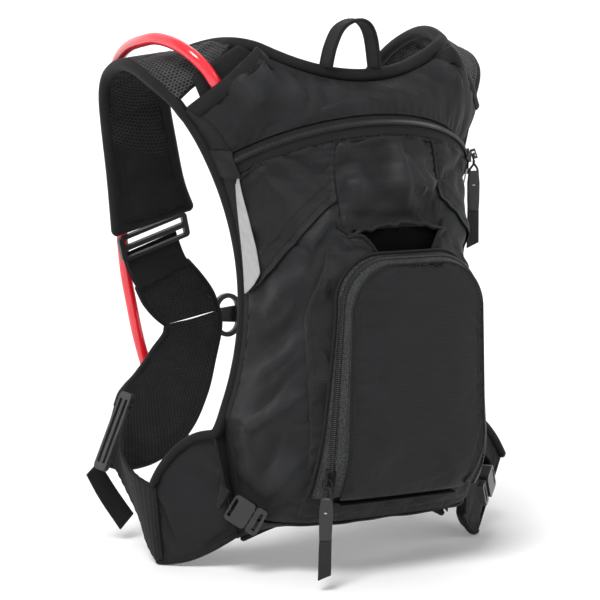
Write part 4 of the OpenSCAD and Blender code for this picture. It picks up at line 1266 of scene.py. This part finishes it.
# ---------- shoulder straps ----------
for side, tag in ((1, "left"), (-1, "right")):
    pair = strap_pairs[tag]
    nv, nu = pair[0].shape[0] - 1, pair[0].shape[1] - 1
    faces = two_faced(*pair)[1]
    row = np.repeat(np.arange(nv), nu)
    worn_side = np.where(row / nv < 0.80, 0, 1)
    outside = np.where(row / nv < 0.40, 2, 3)
    index = np.concatenate([worn_side, outside, np.full(len(faces) - 2 * nu * nv, 3)]).astype(np.int32)
    uv = np.tile(lengths(pair[0]).reshape(-1, 2), (2, 1))
    strap = piece(f"strap_{tag}", strap_verts[tag], faces, [strap_net, web, top_net, side_cloth],
                  slot="padding",
                  replaces=[f"shoulder_strap_{tag}"], uv=uv, index=index, side=side)
    mid = ribbon(*STRAP_RIMS[tag])
    strap_mid = grid(mid, steps(19), steps(96))
    out = facing(strap_mid)
    for u in (0.14, 0.86):
        p, n = sample(strap_mid, steps(19), steps(96), np.full(140, u), line((0.01, 0.985), 140))
        threads.sew(p, n, lift=4.7, side=side)
        threads.sew(p, -n, lift=4.7, side=side)
    for v in (0.805, 0.82, 0.975):
        p, n = sample(strap_mid, steps(19), steps(96), line((0.1, 0.9), 30), np.full(30, v))
        threads.sew(p, n, lift=4.8, side=side)
    end = sample(strap_mid, steps(19), steps(96), steps(24), np.full(24, 1.0))[0]
    tube(f"strap_end_{tag}", end, 4.5, binding, sides=14, slot="binding", side=side)

# the broad bound edge of each shoulder slot
for side, tag in ((-1, "left"), (1, "right")):
    u, v = np.meshgrid(line((0.60, 0.985), 40), line((0.80, 1.04), 10))
    w = np.minimum(v, 1.0)
    p = upper_point(side * u, w) + xyz(0, 2.5 * np.maximum(v - 1, 0) / 0.04,
                                       2.0 * np.maximum(v - 1, 0) / 0.04)
    n = facing(p if side > 0 else p[:, ::-1])
    n = n if side > 0 else n[:, ::-1]
    puff = 1.0 + 1.6 * np.sin(np.pi * np.clip((v - 0.80) / 0.24, 0, 1))
    p = p + (puff * ease((u - 0.60) / 0.03))[..., None] * n
    slab(f"shoulder_band_{tag}", p if side > 0 else p[:, ::-1], 1.2, binding, slot="binding",
         replaces=[f"shoulder_binding_{tag}"])
    q = upper_point(side * line((0.62, 0.975), 60), np.full(60, 0.835))
    threads.sew(q, np.broadcast_to(n[4, 20], q.shape), lift=2.4)

# ---------- chest panels and adjusters ----------
for side, tag in ((1, "left"), (-1, "right")):
    for k, (pair, rows) in enumerate(((ARM_HIGH, 40), (ARM_LOW, 90))):
        p = grid(ribbon(*pair), steps(22), steps(rows))
        v = steps(rows)[:, None] * np.ones((1, 22))
        n = facing(p)
        p = p + rumple(60 * steps(22)[None] * np.ones((rows, 1)), 200 * v, 0.35, 31 + k)[..., None] * n
        slab(f"chest_{'upper' if k == 0 else 'lower'}_{tag}", p + 1.7 * n, 3.4, chest_net, slot="air_mesh",
             side=side,
             replaces=[f"chest_mesh_{tag}"] if k == 0 else ())
        for e, edge in ((0, pair[0]), (1, pair[1])):
            path = curve(edge, steps(90))
            tube(f"chest_edge_{'upper' if k == 0 else 'lower'}_{e}_{tag}", path, 2.7, binding, sides=10,
                 slot="binding", side=side)
            q, m = sample(p, steps(22), steps(rows), np.full(90, 0.11 if e == 0 else 0.89), steps(90))
            threads.sew(q, m, lift=1.9, side=side)
            threads.sew(q, -m, lift=1.9, side=side)
    wide = grid(ribbon(*ADJUSTER), steps(24), steps(14))
    slab(f"adjuster_{tag}", wide + 0.9 * facing(wide), 1.8, web, slot="webbing",
         replaces=[f"adjuster_web_{tag}"], side=side)
    flap = grid(ribbon([[-55, 212, 243], [-50, 211.5, 229], [-44, 211, 218]],
                       [[-104, 212, 226], [-98, 211.5, 211], [-91, 210, 198]]),
                steps(24), steps(14))
    n = facing(flap)
    slab(f"adjuster_flap_{tag}", flap + 3.2 * n, 1.5, web, slot="webbing", side=side)
    slab(f"adjuster_back_{tag}", flap[:, ::-1] - 2.4 * n[:, ::-1], 1.2, web, slot="webbing", side=side)
    for v in (0.45, 0.55):
        q, m = sample(flap, steps(24), steps(14), line((0.06, 0.94), 40), np.full(40, v))
        threads.sew(q, m, lift=3.4, side=side)
    weft = grid(ribbon(*SIDE_WEB), steps(8), steps(14))
    slab(f"compression_web_{tag}", weft + 0.9 * facing(weft), 1.8, web, slot="webbing",
         replaces=[f"side_web_{tag}"], side=side)

# ---------- hip wings and elastic ----------
for side, tag in ((1, "left"), (-1, "right")):
    uv = np.tile(lengths(wing_pairs[tag][0]).reshape(-1, 2), (2, 1))
    wing = piece(f"hip_wing_{tag}", wing_verts[tag], two_faced(*wing_pairs[tag])[1], face_cloth,
                 slot="ripstop",
                 replaces=[f"wing_{tag}"], uv=uv, side=side)
    rims = {"left": ([[-150.5, 59, 62], *BAND_TOP], [[-145.5, 58, 5], *BAND_FOOT]),
            "right": ([[-161, 42, 62], *RIGHT_BAND_TOP], [[-128, 26, 4], *RIGHT_BAND_FOOT])}[tag]
    band = grid(ribbon(*rims), steps(20), steps(50))
    ripple = 0.25 * np.sin(np.linspace(0, 1, 50) * 2 * np.pi * 16)[:, None] * np.ones((1, 20))
    n = facing(band)
    slab(f"elastic_{tag}", band + (1.2 + ripple)[..., None] * n, 2.4, elastic, slot="webbing",
         replaces=[f"elastic_band_{tag}"], side=side)
    tail = grid(ribbon(*TAIL), steps(16), steps(24))
    slab(f"side_tail_cloth_{tag}", tail + 1.1 * facing(tail), 2.2, elastic, slot="webbing",
         replaces=[f"side_tail_{tag}"], side=side)
    for v in (0.03, 0.08, 0.93, 0.97):
        q, m = sample(band, steps(20), steps(50), line((0.05, 0.95), 30), np.full(30, v))
        for sign in (1, -1):
            threads.sew(q, sign * m, lift=1.5, side=side)

# ---------- haul loop ----------
leg = curve(HAUL, steps(70))
loop = mix(leg[:, None] + xyz(0, 10, 0), leg[:, None] + xyz(0, -8, 0), steps(12)[None, :, None])
n = facing(loop)
slab("haul_webbing", loop + 1.1 * n, 2.2, web, slot="webbing", replaces=["haul_loop"])
for share in (0.1, 0.9):
    q, m = sample(loop, steps(12), steps(70), np.full(60, share), line((0.03, 0.97), 60))
    threads.sew(q, m, lift=1.3)
    threads.sew(q, -m, lift=1.3)

# ---------- zip pulls: ring, cord, moulded grip and tape ----------
def zip_pull(tag, pivot, turn, lean, length, twist):
    c, s = math.cos(math.radians(turn)), math.sin(math.radians(turn))
    cl, sl = math.cos(math.radians(lean)), math.sin(math.radians(lean))

    def put(p):
        p = np.asarray(p, float)
        x, y, z = p[..., 0], p[..., 1], p[..., 2]
        w = math.radians(twist) * ease((-7.0 - z) / 7.5)
        x, y = x * np.cos(w) - y * np.sin(w), x * np.sin(w) + y * np.cos(w)
        x, z = x * cl - z * sl, x * sl + z * cl
        return xyz(x * c - y * s, x * s + y * c, z) + pivot

    body = f"{tag}_pull"
    a = line((0, 2 * np.pi), 30)
    ring = xyz(0.5 * np.sin(a * 2), 3.9 * np.sin(a), -3.6 + 4.1 * np.cos(a))
    tube(f"{tag}_pull_ring", put(ring[:-1]), 0.62, lacquer, sides=10, body=body, slot="zip_metal")
    for k, sign in enumerate((-1, 1)):
        cord = [[0, sign * 2.6, -6.8], [0.2, sign * 3.0, -9.0], [0.2, sign * 3.3, -12.0],
                [0, sign * 3.5, -15.5]]
        tube(f"{tag}_pull_cord_{k}", put(curve(cord, steps(14))), 0.95, pull_tape, sides=10, body=body,
             slot="zip_pull")
    bow = curve([[0, -2.6, -6.8], [0.5, -1.2, -5.9], [0.5, 1.2, -5.9], [0, 2.6, -6.8]], steps(14))
    tube(f"{tag}_pull_bow", put(bow), 0.95, pull_tape, sides=10, body=body, slot="zip_pull")
    # moulded grip: a rounded bar, narrow at the cord and widest a third of the way down
    rows, cols = 34, 28
    k = steps(rows)
    z = mix(-13.5, -0.62 * length, k)
    half = np.interp(k, [0, 0.06, 0.3, 0.75, 0.95, 1], [2.8, 4.3, 5.1, 5.0, 4.6, 3.6])
    deep = np.interp(k, [0, 0.06, 0.5, 0.95, 1], [0.9, 1.6, 1.75, 1.5, 0.9])
    b = line((0, 2 * np.pi), cols)
    dish = 1 - 0.35 * np.exp(-(((k[:, None] - 0.45) / 0.22) ** 2)) * np.exp(-((np.cos(b)[None] / 0.7) ** 2))
    grip = xyz(deep[:, None] * np.sign(np.sin(b)) * np.abs(np.sin(b)) ** 0.5 * dish,
               half[:, None] * np.sign(np.cos(b)) * np.abs(np.cos(b)) ** 0.5, z[:, None])
    faces = quads(cols - 1, rows - 1) + [list(range(cols))[::-1],
                                         [(rows - 1) * cols + i for i in range(cols)]]
    made = piece(f"{tag}_pull_grip", put(grip).reshape(-1, 3), faces, rubber, body=body, slot="zip_pull",
                 replaces=[body], uv=grip.reshape(-1, 3)[:, 1:])
    weld(made)
    # the tape, folded double and cut at a slant
    u, v = np.meshgrid(line((-1, 1), 10), steps(30))
    low = -length + 2.4 * u
    ztape = mix(np.full_like(u, -0.58 * length), low, v)
    flat = xyz(0.25 * np.sin(5 * v), 4.6 * u + 0.25 * v * u, ztape)
    slab(f"{tag}_pull_tape", put(flat[::-1]) + 0.0, 1.5, pull_tape, above=0.0, body=body, slot="zip_pull")
    for sign in (1, -1):
        mark = xyz(sign * 1.55, line((-0.7, 0.7), 8), np.full(8, -0.34 * length))
        tube(f"{tag}_pull_mark_{'a' if sign > 0 else 'b'}", put(mark), 0.55, pale_mark, sides=8,
             body=body, slot="zip_pull")


zip_pull("main", (113.978, 14.4043, 316.425), -36.295, 0.0, 74, -78)
zip_pull("pocket", (-75.5955, -74.604, 84.6827), -145.646, 4.0, 74, 12)

# ---------- water side, inside the bag ----------
sleeve = grid(lambda u, v: xyz(76 * (2 * u - 1), -27 + 3 * (2 * u - 1) ** 2, mix(52, 225, v)),
              steps(30), steps(30))
slab("sleeve_cloth", sleeve + rumple(sleeve[..., 0], sleeve[..., 2], 0.3, 2)[..., None] * facing(sleeve),
     1.2, side_cloth,
     slot="ripstop", replaces=["reservoir_sleeve"], held="hung")

# ---------- stitches, and the hard parts that stay as they are ----------
threads.make("stitches", thread, slot="binding")
keeper_cloth = moulded("keeper_elastic", (0.009, 0.009, 0.0095), (0.030, 0.0305, 0.032), rough=0.7,
                       depth=0.25, grain=0.9)
KEPT = {
    lacquer: ["main_slider", "pocket_slider"],
    plastic: ["strap_loop_left", "strap_loop_right", "chest_ring", "chest_hook", "buckle_body_left",
              "buckle_body_right",
              "buckle_clip_left", "buckle_clip_right", "hang_clip", "side_slider_left", "side_slider_right"],
    smoke: ["mouthpiece", "shutoff_lever"],
    valve: ["bite_valve"], red: ["hose_inner"], film: ["reservoir_bag"],
    cap: ["reservoir_cap", "reservoir_elbow"],
    keeper_cloth: ["hose_keeper"]}
SOFT_EDGE = {"hose_inner": 0, "hose_keeper": 0.0006, "reservoir_bag": 0.003}
for stuff, names in KEPT.items():
    for name in names:
        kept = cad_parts[name]
        kept.data.materials.clear()
        kept.data.materials.append(stuff)
        width = SOFT_EDGE.get(name, 0.0005)
        if width:
            modify(kept, "BEVEL", width=width, segments=3, limit_method="ANGLE",
                   angle_limit=math.radians(35),
                   harden_normals=False)
